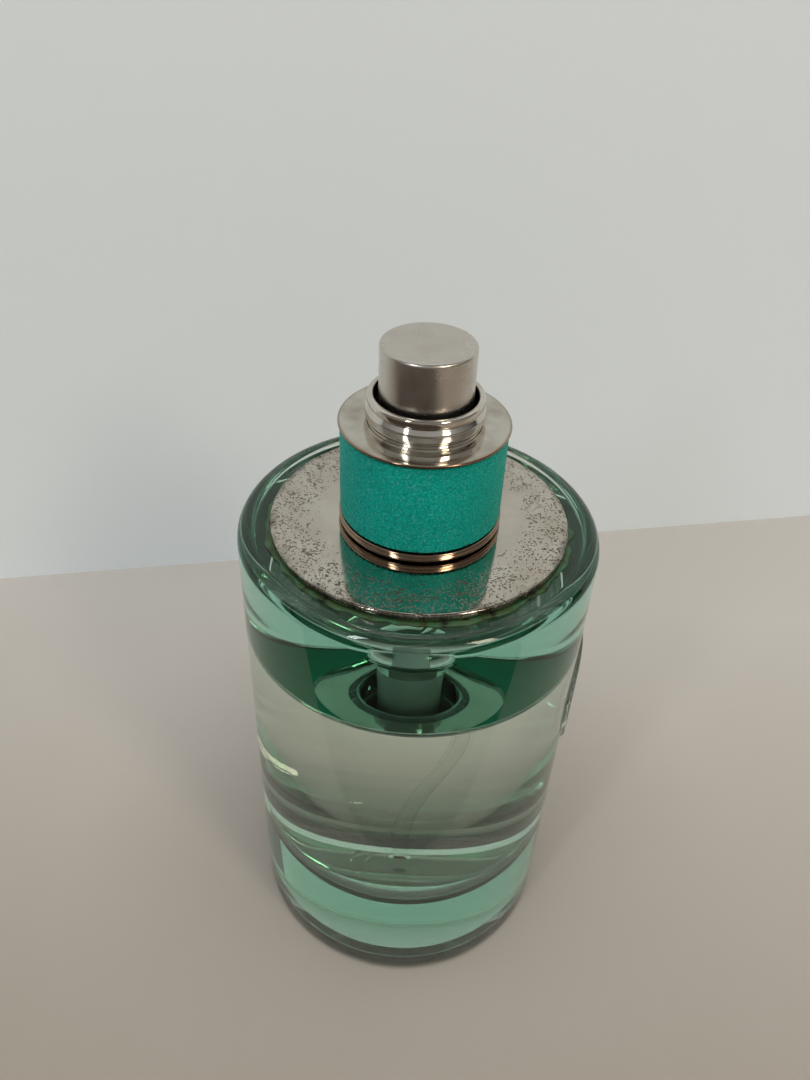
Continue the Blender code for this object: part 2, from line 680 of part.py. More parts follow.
def make_stem(parent):
    """Hollow stem: the poppet's pin sits in its nose and the liquid leaves by its top."""
    valve_top = STEM_BOTTOM + VALVE_BORE_DEPTH
    profile = [
        (VALVE_BORE, STEM_BOTTOM),
        (VALVE_BORE, valve_top),
        (STEM_BORE, valve_top + VALVE_BORE - STEM_BORE),
        (STEM_BORE, STEM_TOP),
        (STEM_RADIUS, STEM_TOP),
        (STEM_RADIUS, STEM_FLANGE_TOP),
        (PLUG_RADIUS, STEM_FLANGE_TOP),
        (PLUG_RADIUS, STEM_FLANGE_BOTTOM),
        (STEM_NOSE_RADIUS, STEM_FLANGE_BOTTOM),
        (STEM_NOSE_RADIUS, STEM_BOTTOM),
    ]
    piece("pump_stem", profile, PUMP_STEPS, parent, white_plastic)


def make_piston(parent):
    """A sleeve on the stem's nose with a wiping lip at each end."""
    bore = STEM_NOSE_RADIUS + CLEARANCE
    waist = PLUG_RADIUS - PISTON_WAIST
    profile = [
        (bore, PISTON_BOTTOM),
        (bore, PISTON_TOP),
        (PLUG_RADIUS, PISTON_TOP),
        (waist, PISTON_TOP - PISTON_LIP),
        (waist, PISTON_BOTTOM + PISTON_LIP),
        (PLUG_RADIUS, PISTON_BOTTOM),
    ]
    piece("pump_piston", profile, PUMP_STEPS, parent, clear_plastic)


def make_poppet(parent):
    """The outlet valve: a flange on the spring and a pin that closes the stem's bore."""
    pin = VALVE_BORE - CLEARANCE
    pin_top = POPPET_TOP + POPPET_PIN_LENGTH
    profile = [
        (0.0, pin_top + POPPET_TIP),
        (pin, pin_top),
        (pin, POPPET_TOP),
        (POPPET_RADIUS, POPPET_TOP),
        (POPPET_RADIUS, POPPET_BOTTOM),
        (0.0, POPPET_BOTTOM),
    ]
    piece("outlet_poppet", profile, PUMP_STEPS, parent, white_plastic, closed=False)


def make_spring(parent):
    """One even helix between the housing's ledge and the poppet; prints the gap between its turns."""
    wire = SPRING_WIRE / 2.0
    low = SPRING_BOTTOM + wire
    high = SPRING_TOP - wire
    count = SPRING_TURNS * SPRING_POINTS_PER_TURN
    points = []
    for index in range(count + 1):
        turn = math.tau * index / SPRING_POINTS_PER_TURN
        height = low + (high - low) * index / count
        points.append((SPRING_RADIUS * math.cos(turn), SPRING_RADIUS * math.sin(turn), height))
    path = np.array(points)
    apart = SPRING_POINTS_PER_TURN // 2
    least = min(
        np.linalg.norm(path[index + apart :] - path[index], axis=1).min() for index in range(count - apart)
    )
    print(f"return_spring: least gap to itself {(least - SPRING_WIRE) * 1000.0:.2f} mm")
    spring = pipe("return_spring", points, wire, WIRE_BEVEL_STEPS, parts)
    place(spring, parent, 0.0)
    spring.data.materials.append(spring_steel)
    smooth(spring.data)


def make_ball(parent):
    bm = bmesh.new()
    bmesh.ops.create_uvsphere(bm, u_segments=BALL_SEGMENTS, v_segments=BALL_RINGS, radius=BALL_RADIUS)
    mesh = bpy.data.meshes.new("inlet_ball")
    bm.to_mesh(mesh)
    bm.free()
    ball = bpy.data.objects.new("inlet_ball", mesh)
    parts.objects.link(ball)
    place(ball, parent, BALL_CENTRE)
    mesh.materials.append(spring_steel)
    smooth(mesh)


def spray_cutter(name, radius, near, far):
    """A cylinder along +Y at the nozzle's height, from near to far."""
    tool = cylinder(name, radius, far - near, PUMP_STEPS)
    tool.data.transform(Matrix.Rotation(math.pi / PUMP_STEPS, 4, "Z"))
    tool.rotation_euler.x = math.radians(90.0)
    tool.location = (0.0, (near + far) / 2.0, NOZZLE_HEIGHT)
    return tool


def make_actuator_shell(parent):
    """A thin drawn cap with a hole in its side for the spray."""
    edge = ACTUATOR_RADIUS - ACTUATOR_EDGE_ROUND
    profile = [
        (0.0, ACTUATOR_TOP - ACTUATOR_WALL),
        (SHELL_BORE, ACTUATOR_TOP - ACTUATOR_WALL),
        (SHELL_BORE, ACTUATOR_BOTTOM),
        (ACTUATOR_RADIUS, ACTUATOR_BOTTOM),
        (ACTUATOR_RADIUS, ACTUATOR_TOP - ACTUATOR_EDGE_ROUND),
        *arc((edge, ACTUATOR_TOP - ACTUATOR_EDGE_ROUND), ACTUATOR_EDGE_ROUND, 0, 90),
        (0.0, ACTUATOR_TOP),
    ]
    shell = piece("actuator_shell", profile[::-1], COLLAR_STEPS, parent, satin_nickel, closed=False)
    window = spray_cutter("spray_window", NOZZLE_RADIUS - CLEARANCE, CORE_BORE, 2.0 * ACTUATOR_RADIUS)
    combine(shell, window, "DIFFERENCE")


def make_actuator_core(parent):
    """A moulded cup with a central post: the post's socket takes the stem."""
    profile = [
        (0.0, SOCKET_TOP),
        (SOCKET_RADIUS, SOCKET_TOP),
        (SOCKET_RADIUS, POST_BOTTOM),
        (CORE_POST_RADIUS, POST_BOTTOM),
        (CORE_POST_RADIUS, CORE_ROOF),
        (CORE_BORE, CORE_ROOF),
        (CORE_BORE, CORE_BOTTOM),
        (CORE_RADIUS, CORE_BOTTOM),
        (CORE_RADIUS, CORE_TOP),
        (0.0, CORE_TOP),
    ]
    core = piece("actuator_core", profile[::-1], CORE_STEPS, parent, white_plastic, closed=False)
    seat_depth = NOZZLE_FACE - NOZZLE_LENGTH - CLEARANCE
    spoke_start = (SOCKET_RADIUS + CORE_POST_RADIUS) / 2.0
    spoke_end = CORE_RADIUS - CORE_WALL / 2.0
    spoke = spray_cutter("spray_spoke", NOZZLE_BORE + CORE_WALL / 2.0, spoke_start, spoke_end)
    seat = spray_cutter("nozzle_seat", NOZZLE_BORE, seat_depth, 2.0 * ACTUATOR_RADIUS)
    channel = spray_cutter("spray_channel", SPRAY_CHANNEL_RADIUS, -STEM_BORE / 2.0, CORE_RADIUS)
    feed_bottom = SOCKET_TOP - CLEARANCE
    feed_top = NOZZLE_HEIGHT + SPRAY_CHANNEL_RADIUS / 2.0
    feed = cylinder("stem_feed", STEM_BORE, feed_top - feed_bottom, PUMP_STEPS)
    feed.location.z = (feed_top + feed_bottom) / 2.0
    combine(core, spoke, "UNION")
    combine(core, seat, "DIFFERENCE")
    combine(core, channel, "DIFFERENCE")
    combine(core, feed, "DIFFERENCE")


def make_nozzle(parent):
    """A button pressed into the core, dished round a fine orifice."""
    back = NOZZLE_FACE - NOZZLE_LENGTH
    profile = [
        (NOZZLE_ORIFICE, back),
        (NOZZLE_ORIFICE, NOZZLE_FACE - NOZZLE_DISH),
        (NOZZLE_RADIUS - NOZZLE_DISH, NOZZLE_FACE),
        (NOZZLE_RADIUS, NOZZLE_FACE),
        (NOZZLE_RADIUS, back),
    ]
    nozzle = piece("nozzle_insert", profile, PUMP_STEPS, parent, white_plastic)
    nozzle.rotation_euler.x = math.radians(-90.0)
    nozzle.location = (0.0, back, NOZZLE_HEIGHT - height_of(parent))


clear_scene()
parts = new_collection("perfume_bottle")
cutters = new_collection("cutters")

tinted_glass = finish("tinted_glass", (0.55, 0.80, 0.72), 0.03, transmission=1.0)
perfume_liquid = finish("perfume_liquid", (0.86, 0.92, 0.82), 0.02, transmission=1.0)
pitted_nickel = finish("pitted_nickel", (0.62, 0.59, 0.54), 0.30, metallic=1.0)
polished_nickel = finish("polished_nickel", (0.66, 0.63, 0.58), 0.12, metallic=1.0)
satin_nickel = finish("satin_nickel", (0.58, 0.55, 0.50), 0.32, metallic=1.0)
bare_aluminium = finish("bare_aluminium", (0.75, 0.75, 0.76), 0.35, metallic=1.0)
spring_steel = finish("spring_steel", (0.55, 0.55, 0.56), 0.30, metallic=1.0)
turquoise_leather = finish("turquoise_leather", (0.0, 0.23, 0.18), 0.50)
white_plastic = finish("white_plastic", (0.85, 0.85, 0.83), 0.45)
clear_plastic = finish("clear_plastic", (0.88, 0.90, 0.90), 0.20, transmission=0.6)
grey_plastic = finish("grey_plastic", (0.35, 0.35, 0.36), 0.50)
gasket_rubber = finish("gasket_rubber", (0.12, 0.12, 0.12), 0.70)

bottle = empty("bottle", 0.0)
plunger = empty("plunger", STEM_BOTTOM, bottle)
actuator = empty("actuator", ACTUATOR_BOTTOM, plunger)
check_valve = empty("check_valve", BALL_CENTRE, bottle)

make_glass(bottle)
make_liquid(bottle)
make_plate(bottle)
make_ferrule(bottle)
make_gasket(bottle)
make_step_collar(bottle)
make_liner(bottle)
make_collar(bottle)
make_band(bottle)
make_housing(bottle)
make_turret(bottle)
make_stem_seal(bottle)
make_dip_tube(bottle)
make_spring(bottle)
make_stem(plunger)
make_piston(plunger)
make_poppet(plunger)
make_actuator_shell(actuator)
make_actuator_core(actuator)
make_nozzle(actuator)
make_ball(check_valve)

bpy.context.view_layer.update()
for obj in parts.objects:
    if obj.type == "MESH":
        smooth(obj.data)
print(f"perfume bottle {ACTUATOR_TOP * 1000.0:.1f} mm tall, liquid to {LIQUID_LEVEL * 1000.0:.1f} mm")
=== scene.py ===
# %% [markdown]
# # Finishing a glass perfume bottle
# The frame holds every piece of the bottle at its real size: the glass, the liquid, the collar and the
# pump. This lesson dresses that frame. Round pieces that the eye meets first are turned again with fine
# outlines, and ten inner pieces keep their solids and only get a finish.

# %% Load the frame
import math

import bmesh
import bpy
import numpy as np
from mathutils import Matrix, Vector, noise


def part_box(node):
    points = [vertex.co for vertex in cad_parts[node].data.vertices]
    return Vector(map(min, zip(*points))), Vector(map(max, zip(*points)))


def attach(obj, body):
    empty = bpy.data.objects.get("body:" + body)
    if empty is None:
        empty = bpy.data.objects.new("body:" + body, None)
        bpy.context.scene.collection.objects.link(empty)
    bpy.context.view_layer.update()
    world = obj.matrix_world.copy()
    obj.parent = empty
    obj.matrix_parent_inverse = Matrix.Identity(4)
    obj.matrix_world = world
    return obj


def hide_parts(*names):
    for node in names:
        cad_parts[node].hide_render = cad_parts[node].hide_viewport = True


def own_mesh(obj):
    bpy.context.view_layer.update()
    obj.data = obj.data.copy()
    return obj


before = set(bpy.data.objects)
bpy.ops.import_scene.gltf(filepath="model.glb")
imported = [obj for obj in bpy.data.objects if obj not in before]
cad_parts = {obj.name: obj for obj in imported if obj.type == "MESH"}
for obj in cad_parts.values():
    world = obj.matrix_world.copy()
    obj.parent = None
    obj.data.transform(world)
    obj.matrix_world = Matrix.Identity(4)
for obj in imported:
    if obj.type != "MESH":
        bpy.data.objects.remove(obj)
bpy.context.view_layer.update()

# %% [markdown]
# ## Sizes from the frame
# A node's box gives the radius and the heights of a turned piece, so the fine outlines start from the
# frame. Pieces that touch on the real bottle stand apart by one fit clearance in the frame.

# %% Read radii and heights
MM = 0.001
FIT = 0.3 * MM


def radius_of(node):
    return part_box(node)[1][1]


def bottom_of(node):
    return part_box(node)[0][2]


def top_of(node):
    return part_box(node)[1][2]


GLASS_R = radius_of("glass_bottle")
MOUTH = top_of("glass_bottle")
SHOULDER = bottom_of("shoulder_plate") - FIT
CAVITY_R = radius_of("perfume") + FIT
CAVITY_FLOOR = bottom_of("perfume") - FIT
LIQUID_LEVEL = top_of("perfume")
print(f"glass {2 * GLASS_R / MM:.1f} mm across, cavity {2 * CAVITY_R / MM:.1f} mm across")
print(f"liquid up to {LIQUID_LEVEL / MM:.1f} mm")

# %% [markdown]
# ## Outlines with rounded corners
# Glass and drawn metal have no sharp corners, and the round at a corner is what catches the light. An
# outline is written as its corners, each with the radius of its round, and a helper puts the arcs in. A
# chain of Bevel modifiers could do the same, but it can't give each corner its own radius so plainly. The
# rounds that many pieces share have names, from TIGHT to BROAD.

# %% Outline and lathe helpers
TIGHT, FINE, SLIM = 0.05 * MM, 0.1 * MM, 0.15 * MM
SOFT, FULL, BROAD = 0.2 * MM, 0.3 * MM, 0.5 * MM
SHARP_ANGLE = math.radians(40.0)
MERGE_DISTANCE = 0.001 * MM


def rounded(corners, steps=8):
    """Corners are (radius, height, round): returns the outline with an arc wherever there is a round."""
    outline = []
    for index, (r, z, size) in enumerate(corners):
        here = Vector((r, z))
        if not size:
            outline.append(here)
            continue
        before = (Vector(corners[index - 1][:2]) - here).normalized()
        after = (Vector(corners[index + 1][:2]) - here).normalized()
        half = before.angle(after) / 2.0
        centre = here + (before + after).normalized() * (size / math.sin(half))
        start = here + before * (size / math.tan(half)) - centre
        sweep = math.pi - 2.0 * half
        turn = sweep if before.x * after.y - before.y * after.x < 0.0 else -sweep
        for step in range(steps + 1):
            outline.append(centre + Matrix.Rotation(turn * step / steps, 2) @ start)
    return outline


def ring_outline(corners, steps=6):
    """Rounds a closed outline: its first and last corners are neighbours."""
    last, first = corners[-1], corners[0]
    return rounded([(*last[:2], 0.0), *corners, (*first[:2], 0.0)], steps)[1:-1]


def lathe(name, outline, segments=192, closed=False):
    """Turns an outline about Z into one closed skin."""
    bm = bmesh.new()
    points = [bm.verts.new((p[0], 0.0, p[1])) for p in outline]
    pairs = list(zip(points, points[1:]))
    if closed:
        pairs.append((points[-1], points[0]))
    lines = [bm.edges.new(pair) for pair in pairs]
    bmesh.ops.spin(
        bm, geom=points + lines, cent=(0, 0, 0), axis=(0, 0, 1), angle=math.tau, steps=segments,
        use_merge=True
    )
    bmesh.ops.remove_doubles(bm, verts=bm.verts, dist=MERGE_DISTANCE)
    bmesh.ops.recalc_face_normals(bm, faces=bm.faces)
    return to_object(name, bm)


def soften(mesh):
    """Shades a mesh smooth, apart from its sharp edges."""
    mesh.shade_smooth()
    mesh.set_sharp_from_angle(angle=SHARP_ANGLE)


def to_object(name, bm):
    mesh = bpy.data.meshes.new(name)
    bm.to_mesh(mesh)
    bm.free()
    soften(mesh)
    obj = bpy.data.objects.new(name, mesh)
    bpy.context.scene.collection.objects.link(obj)
    return obj


def dress(obj, material, slot, body, *nodes):
    """Gives a piece its material and lets it ride on a body in place of its solids; slot is not used."""
    obj.data.materials.clear()
    obj.data.materials.append(material)
    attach(obj, body)
    if nodes:
        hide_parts(*nodes)
    print(f"{obj.name}: {len(obj.data.polygons)} faces, on {body}")


# %% [markdown]
# ## Node helpers
# Every finish is a Principled shader with nodes in front of it. Small helpers keep the cells short: they
# make a material, add a node and link what feeds it, and put in the few nodes that nearly every finish
# needs.

# %% Material helpers
def new_material(name):
    material = bpy.data.materials.new(name)
    material.use_nodes = True
    return material, material.node_tree, material.node_tree.nodes["Principled BSDF"]


def feed(tree, socket, value):
    """Links an output to a socket, or sets the socket to a value."""
    if isinstance(value, bpy.types.NodeSocket):
        tree.links.new(value, socket)
    else:
        socket.default_value = value


def add(tree, kind, feeds=None, **settings):
    """Adds a node; feeds maps an input's name or number to a value or to an output socket."""
    node = tree.nodes.new(kind)
    for key, value in settings.items():
        setattr(node, key, value)
    for key, value in (feeds or {}).items():
        feed(tree, node.inputs[key], value)
    return node


def calc(tree, operation, *values):
    """A Math node on numbers or sockets."""
    return add(tree, "ShaderNodeMath", dict(enumerate(values)), operation=operation).outputs[0]


def remap(tree, value, low=0.0, high=1.0, start=0.0, end=1.0):
    """Carries a value from low..high over to start..end, and holds it there."""
    feeds = {"Value": value, "From Min": low, "From Max": high, "To Min": start, "To Max": end}
    return add(tree, "ShaderNodeMapRange", feeds).outputs["Result"]


def blend(tree, share, first, second):
    """Mixes two colours: share 0 gives the first and 1 gives the second."""
    feeds = {"Factor": share, "A": first, "B": second}
    return add(tree, "ShaderNodeMix", feeds, data_type="RGBA").outputs["Result"]


def ramp(tree, value, stops):
    """A Color Ramp with its stops: (place, colour)."""
    node = add(tree, "ShaderNodeValToRGB", {"Fac": value})
    elements = node.color_ramp.elements
    while len(elements) < len(stops):
        elements.new(0.5)
    for element, (place, shade) in zip(elements, stops):
        element.position = place
        element.color = (*shade, 1.0)
    return node.outputs["Color"]


def bump(tree, height, distance):
    feeds = {"Height": height, "Distance": distance, "Strength": 1.0}
    return add(tree, "ShaderNodeBump", feeds).outputs["Normal"]


def here(tree):
    """Where a point of the piece is, in metres in its own frame."""
    return add(tree, "ShaderNodeTexCoord").outputs["Object"]


def from_axis(tree):
    """How far a point of the piece is from the axis."""
    flat = add(tree, "ShaderNodeVectorMath", {0: here(tree), 1: (1.0, 1.0, 0.0)}, operation="MULTIPLY")
    return add(tree, "ShaderNodeVectorMath", {0: flat.outputs[0]}, operation="LENGTH").outputs["Value"]


def height_on(tree):
    """How high a point of the piece is."""
    return add(tree, "ShaderNodeSeparateXYZ", {0: here(tree)}).outputs["Z"]


def new_group(name, inputs, outputs):
    """A shader group whose inputs and outputs are all single numbers."""
    tree = bpy.data.node_groups.new(name, "ShaderNodeTree")
    for label in inputs:
        tree.interface.new_socket(label, in_out="INPUT", socket_type="NodeSocketFloat")
    for label in outputs:
        tree.interface.new_socket(label, in_out="OUTPUT", socket_type="NodeSocketFloat")
    return tree, tree.nodes.new("NodeGroupInput").outputs, tree.nodes.new("NodeGroupOutput").inputs


def place_group(tree, group, **values):
    node = tree.nodes.new("ShaderNodeGroup")
    node.node_tree = group
    for label, value in values.items():
        feed(tree, node.inputs[label], value)
    return node.outputs


# %% [markdown]
# ## Handling marks
# A bottle that has stood on a dressing table carries smudges and fine marks. They barely colour the metal,
# but they break up its shine, so one group makes a soft smudge roughness and a fine height, and most
# finishes take their own share of them.

# %% Handling marks group
def make_handling_marks():
    group, given, put = new_group("handling_marks", ["Size", "Least", "Most"], ["Roughness", "Height"])
    at = here(group)
    broad = add(group, "ShaderNodeTexNoise", {
        "Vector": at, "Scale": given["Size"], "Detail": 5.0, "Roughness": 0.6
    })
    smudge = remap(
        group, broad.outputs["Fac"], low=0.35, high=0.7, start=given["Least"], end=given["Most"]
    )
    group.links.new(smudge, put["Roughness"])
    fine = add(group, "ShaderNodeTexNoise", {"Vector": at, "Scale": 5200.0, "Detail": 2.0})
    group.links.new(fine.outputs["Fac"], put["Height"])
    return group


handling_marks = make_handling_marks()
print("group:", handling_marks.name)

# %% [markdown]
# ## The glass
# The bottle is cast from glass with a little green-blue in it. A thin wall looks almost clear and a long
# way through the base or the rim looks deep teal, so the tint belongs inside the glass, as absorption, and
# not on its surface. The perfume is treated in the same way, with a faint straw tint.

# %% Glass and liquid materials
def clear_body(name, ior, tint, strength, least, most):
    """A see-through body: surface marks by roughness, colour by the way that light travels inside."""
    material, tree, shader = new_material(name)
    marks = place_group(tree, handling_marks, Size=90.0, Least=least, Most=most)
    tree.links.new(marks["Roughness"], shader.inputs["Roughness"])
    shader.inputs["Base Color"].default_value = (1.0, 1.0, 1.0, 1.0)
    shader.inputs["IOR"].default_value = ior
    shader.inputs["Transmission Weight"].default_value = 1.0
    inside = add(tree, "ShaderNodeVolumeAbsorption", {"Color": (*tint, 1.0), "Density": strength})
    tree.links.new(inside.outputs[0], tree.nodes["Material Output"].inputs["Volume"])
    return material


tinted_glass = clear_body(
    "tinted_glass", ior=1.5, tint=(0.22, 0.66, 0.48), strength=30.0, least=0.0, most=0.02
)
perfume_liquid = clear_body(
    "perfume_liquid", ior=1.36, tint=(0.70, 0.72, 0.20), strength=3.0, least=0.0, most=0.0
)
print("made", tinted_glass.name, "and", perfume_liquid.name)

# %% [markdown]
# ## Turning the glass
# One outline runs up the cavity, out of the mouth, down the neck, across the recessed shoulder, over the
# rim and down to the standing ring. The walls are thick and the cavity ends in a bowl over a thicker base,
# which is what gives the bottle its bright bands and dark lines. The shoulder is solid too: the cavity's
# roof starts just above the liquid and rises a little to the throat, so from the front it mirrors the
# underside of the plate.

# %% Glass sizes
RIM_DEPTH, RIM_WIDTH = 0.9 * MM, 2.6 * MM
RIM_ROUND, RIM_INNER_ROUND = 2.0 * MM, 0.6 * MM
HEADSPACE = 1.0 * MM
CAVITY_ROOF = LIQUID_LEVEL + HEADSPACE
ROOF_RISE = 3.9 * MM
ROOF_CORNER = 0.6 * MM
THROAT_ROUND = 2.6 * MM
BOWL = 13.0 * MM
MOUTH_R, NECK_R, BEAD_R = 4.36 * MM, 6.7 * MM, 7.5 * MM
BEAD_TALL = 3.0 * MM
BEAD_BOTTOM = MOUTH - BEAD_TALL
BEAD_ROUND = 0.6 * MM
SHOULDER_ROUND = 0.25 * MM
BASE_CORNER = 2.0 * MM
STANDING_RING = 5.0 * MM
PUNT, PUNT_SLOPE, PUNT_ROUND = 1.0 * MM, 3.0 * MM, 1.0 * MM
MEDALLION_MIDDLE = 53.0 * MM
MEDALLION_HALF_WIDTH, MEDALLION_HALF_TALL = 10.0 * MM, 12.25 * MM
MEDALLION_EDGE = 0.9 * MM
WALL_ROW = 0.4 * MM
ROWS_REACH = 1.1 * MEDALLION_HALF_TALL
BODY_ARC_STEPS = 14
GLASS_SEGMENTS = 320
print(f"cavity roof from {CAVITY_ROOF / MM:.1f} to {(CAVITY_ROOF + ROOF_RISE) / MM:.1f} mm")

# %% Glass outline
rim_top = SHOULDER + RIM_DEPTH
ring_inner = GLASS_R - BASE_CORNER - STANDING_RING
wall_rows = np.arange(MEDALLION_MIDDLE + ROWS_REACH, MEDALLION_MIDDLE - ROWS_REACH, -WALL_ROW)
glass_outline = rounded([
    (0.0, CAVITY_FLOOR, 0.0),
    (CAVITY_R, CAVITY_FLOOR, BOWL),
    (CAVITY_R, CAVITY_ROOF, ROOF_CORNER),
    (MOUTH_R, CAVITY_ROOF + ROOF_RISE, THROAT_ROUND),
    (MOUTH_R, MOUTH, BROAD),
    (BEAD_R, MOUTH, BEAD_ROUND),
    (BEAD_R, BEAD_BOTTOM, BROAD),
    (NECK_R, BEAD_BOTTOM - (BEAD_R - NECK_R), BROAD),
    (NECK_R, SHOULDER, BROAD),
    (GLASS_R - RIM_WIDTH, SHOULDER, SHOULDER_ROUND),
    (GLASS_R - RIM_WIDTH, rim_top, RIM_INNER_ROUND),
    (GLASS_R, rim_top, RIM_ROUND),
    *[(GLASS_R, row, 0.0) for row in wall_rows],
    (GLASS_R, 0.0, BASE_CORNER),
    (ring_inner, 0.0, PUNT_ROUND),
    (ring_inner - PUNT_SLOPE, PUNT, PUNT_ROUND),
    (0.0, PUNT, 0.0),
], BODY_ARC_STEPS)
glass = lathe("bottle_glass", glass_outline, GLASS_SEGMENTS)
print("glass outline:", len(glass_outline), "points")

# %% [markdown]
# ## The medallion
# A plain oval stands proud on one side of the glass. It was pressed with the bottle, so its edge is soft.
# The wall has close rows of points there, and each point moves out by how far inside the oval it lies.

# %% Raised medallion
ON_WALL = 0.01 * MM
medallion_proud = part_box("glass_bottle")[1][0] - GLASS_R
for vertex in glass.data.vertices:
    x, y, z = vertex.co
    if x < 0.0 or math.hypot(x, y) < GLASS_R - ON_WALL:
        continue
    across = GLASS_R * math.atan2(y, x) / MEDALLION_HALF_WIDTH
    upward = (z - MEDALLION_MIDDLE) / MEDALLION_HALF_TALL
    inside = (1.0 - math.hypot(across, upward)) * MEDALLION_HALF_WIDTH / MEDALLION_EDGE
    share = min(max(inside, 0.0), 1.0)
    swell = 1.0 + medallion_proud / GLASS_R * share * share * (3.0 - 2.0 * share)
    vertex.co.x, vertex.co.y = x * swell, y * swell
dress(glass, tinted_glass, "tinted_glass", "bottle", "glass_bottle")
print(f"medallion stands {medallion_proud / MM:.2f} mm proud")

# %% [markdown]
# ## The perfume
# The liquid wets the glass, so its skin lies a hair inside the glass wall: light then bends once from glass
# to liquid, as it does in a filled bottle. At the wall it climbs in a small meniscus.

# %% Liquid body
WET = 0.04 * MM
MENISCUS, MENISCUS_REACH, MENISCUS_STEPS = 0.7 * MM, 1.6 * MM, 6
LIQUID_SEGMENTS = 256
wet_r = CAVITY_R + WET
wet_floor = CAVITY_FLOOR - WET
surface = [(0.0, LIQUID_LEVEL)]
for step in range(MENISCUS_STEPS + 1):
    share = step / MENISCUS_STEPS
    surface.append((wet_r - MENISCUS_REACH * (1.0 - share), LIQUID_LEVEL + MENISCUS * share**3))
fill_outline = [Vector(p) for p in surface] + rounded([
    (wet_r, LIQUID_LEVEL, 0.0), (wet_r, wet_floor, BOWL + WET), (0.0, wet_floor, 0.0)
], BODY_ARC_STEPS)[1:]
fill = lathe("perfume_fill", fill_outline, LIQUID_SEGMENTS)
dress(fill, perfume_liquid, "perfume_liquid", "bottle", "perfume")

# %% [markdown]
# ## Metal finishes
# The visible metal is nickel plating with a warm cast. On the ring and the collar it is polished, on the
# actuator it is satin. They share one recipe: a metallic shader whose roughness takes the handling marks,
# and a faint bump of the same marks so that reflections waver as they do on drawn sheet. Where a mask says
# that the plating is rubbed, another colour shows; in the ring's bore the same mask lays on painted shade.

# %% Nickel recipe
def nickel(name, colour, worn, least, most, depth, rubbed=None, under=(0.30, 0.19, 0.12)):
    """Plated metal: worn is its tarnish; rubbed masks where under shows, for wear and for painted shade."""
    material, tree, shader = new_material(name)
    marks = place_group(tree, handling_marks, Size=420.0, Least=least, Most=most)
    patches = add(tree, "ShaderNodeTexNoise", {"Vector": here(tree), "Scale": 260.0, "Detail": 6.0})
    shade = ramp(tree, patches.outputs["Fac"], [(0.42, colour), (0.75, worn)])
    if rubbed:
        shade = blend(tree, rubbed(tree), shade, (*under, 1.0))
    tree.links.new(shade, shader.inputs["Base Color"])
    tree.links.new(marks["Roughness"], shader.inputs["Roughness"])
    tree.links.new(bump(tree, marks["Height"], depth), shader.inputs["Normal"])
    shader.inputs["Metallic"].default_value = 1.0
    return material


satin_nickel = nickel(
    "satin_nickel", colour=(0.62, 0.58, 0.53), worn=(0.56, 0.52, 0.47), least=0.26, most=0.34,
    depth=0.002 * MM
)
print("made", satin_nickel.name)

# %% [markdown]
# ## The pitted plate
# The plate on the shoulder has suffered from spilt perfume: outside a smooth zone near the collar its
# plating is pitted and speckled, and dark residue has gathered at its edge. The pits are cells of a Voronoi
# pattern. Each cell draws a number, and noise and the distance from the axis decide which draws become
# pits, so they crowd together in places.

# %% Tarnish pits group
def make_tarnish_pits():
    """Puts out a mask of pits and their height; Amount from 0 to 1 says how thickly they lie."""
    group, given, put = new_group("tarnish_pits", ["Amount", "Scale"], ["Mask", "Height"])
    at = here(group)
    cells = add(group, "ShaderNodeTexVoronoi", {"Vector": at, "Scale": given["Scale"]})
    draw = add(group, "ShaderNodeSeparateColor", {0: cells.outputs["Color"]}).outputs[0]
    crowd = add(group, "ShaderNodeTexNoise", {"Vector": at, "Scale": 650.0, "Detail": 4.0, "Roughness": 0.6})
    crowding = remap(group, crowd.outputs["Fac"], low=0.3, high=0.7, start=0.35, end=1.0)
    level = calc(group, "MULTIPLY", crowding, given["Amount"])
    drawn = calc(group, "MULTIPLY_ADD", level, 0.95, draw)
    rim = calc(group, "MULTIPLY_ADD", cells.outputs["Distance"], 0.5, 1.0)
    mask = remap(group, calc(group, "SUBTRACT", drawn, rim), low=0.0, high=0.15)
    group.links.new(mask, put["Mask"])
    group.links.new(calc(group, "SUBTRACT", 1.0, mask), put["Height"])
    return group


tarnish_pits = make_tarnish_pits()
print("group:", tarnish_pits.name)

# %% Plate material
PLATE_R = radius_of("shoulder_plate")
SMOOTH_ZONE, ZONE_BLUR, ZONE_WANDER = 15.2 * MM, 1.6 * MM, 2.0 * MM
EDGE_GRIME = 0.9 * MM
PIT_DEPTH = 0.02 * MM
PIT_BROWN, GRIME = (0.20, 0.165, 0.125, 1.0), (0.05, 0.04, 0.02, 1.0)


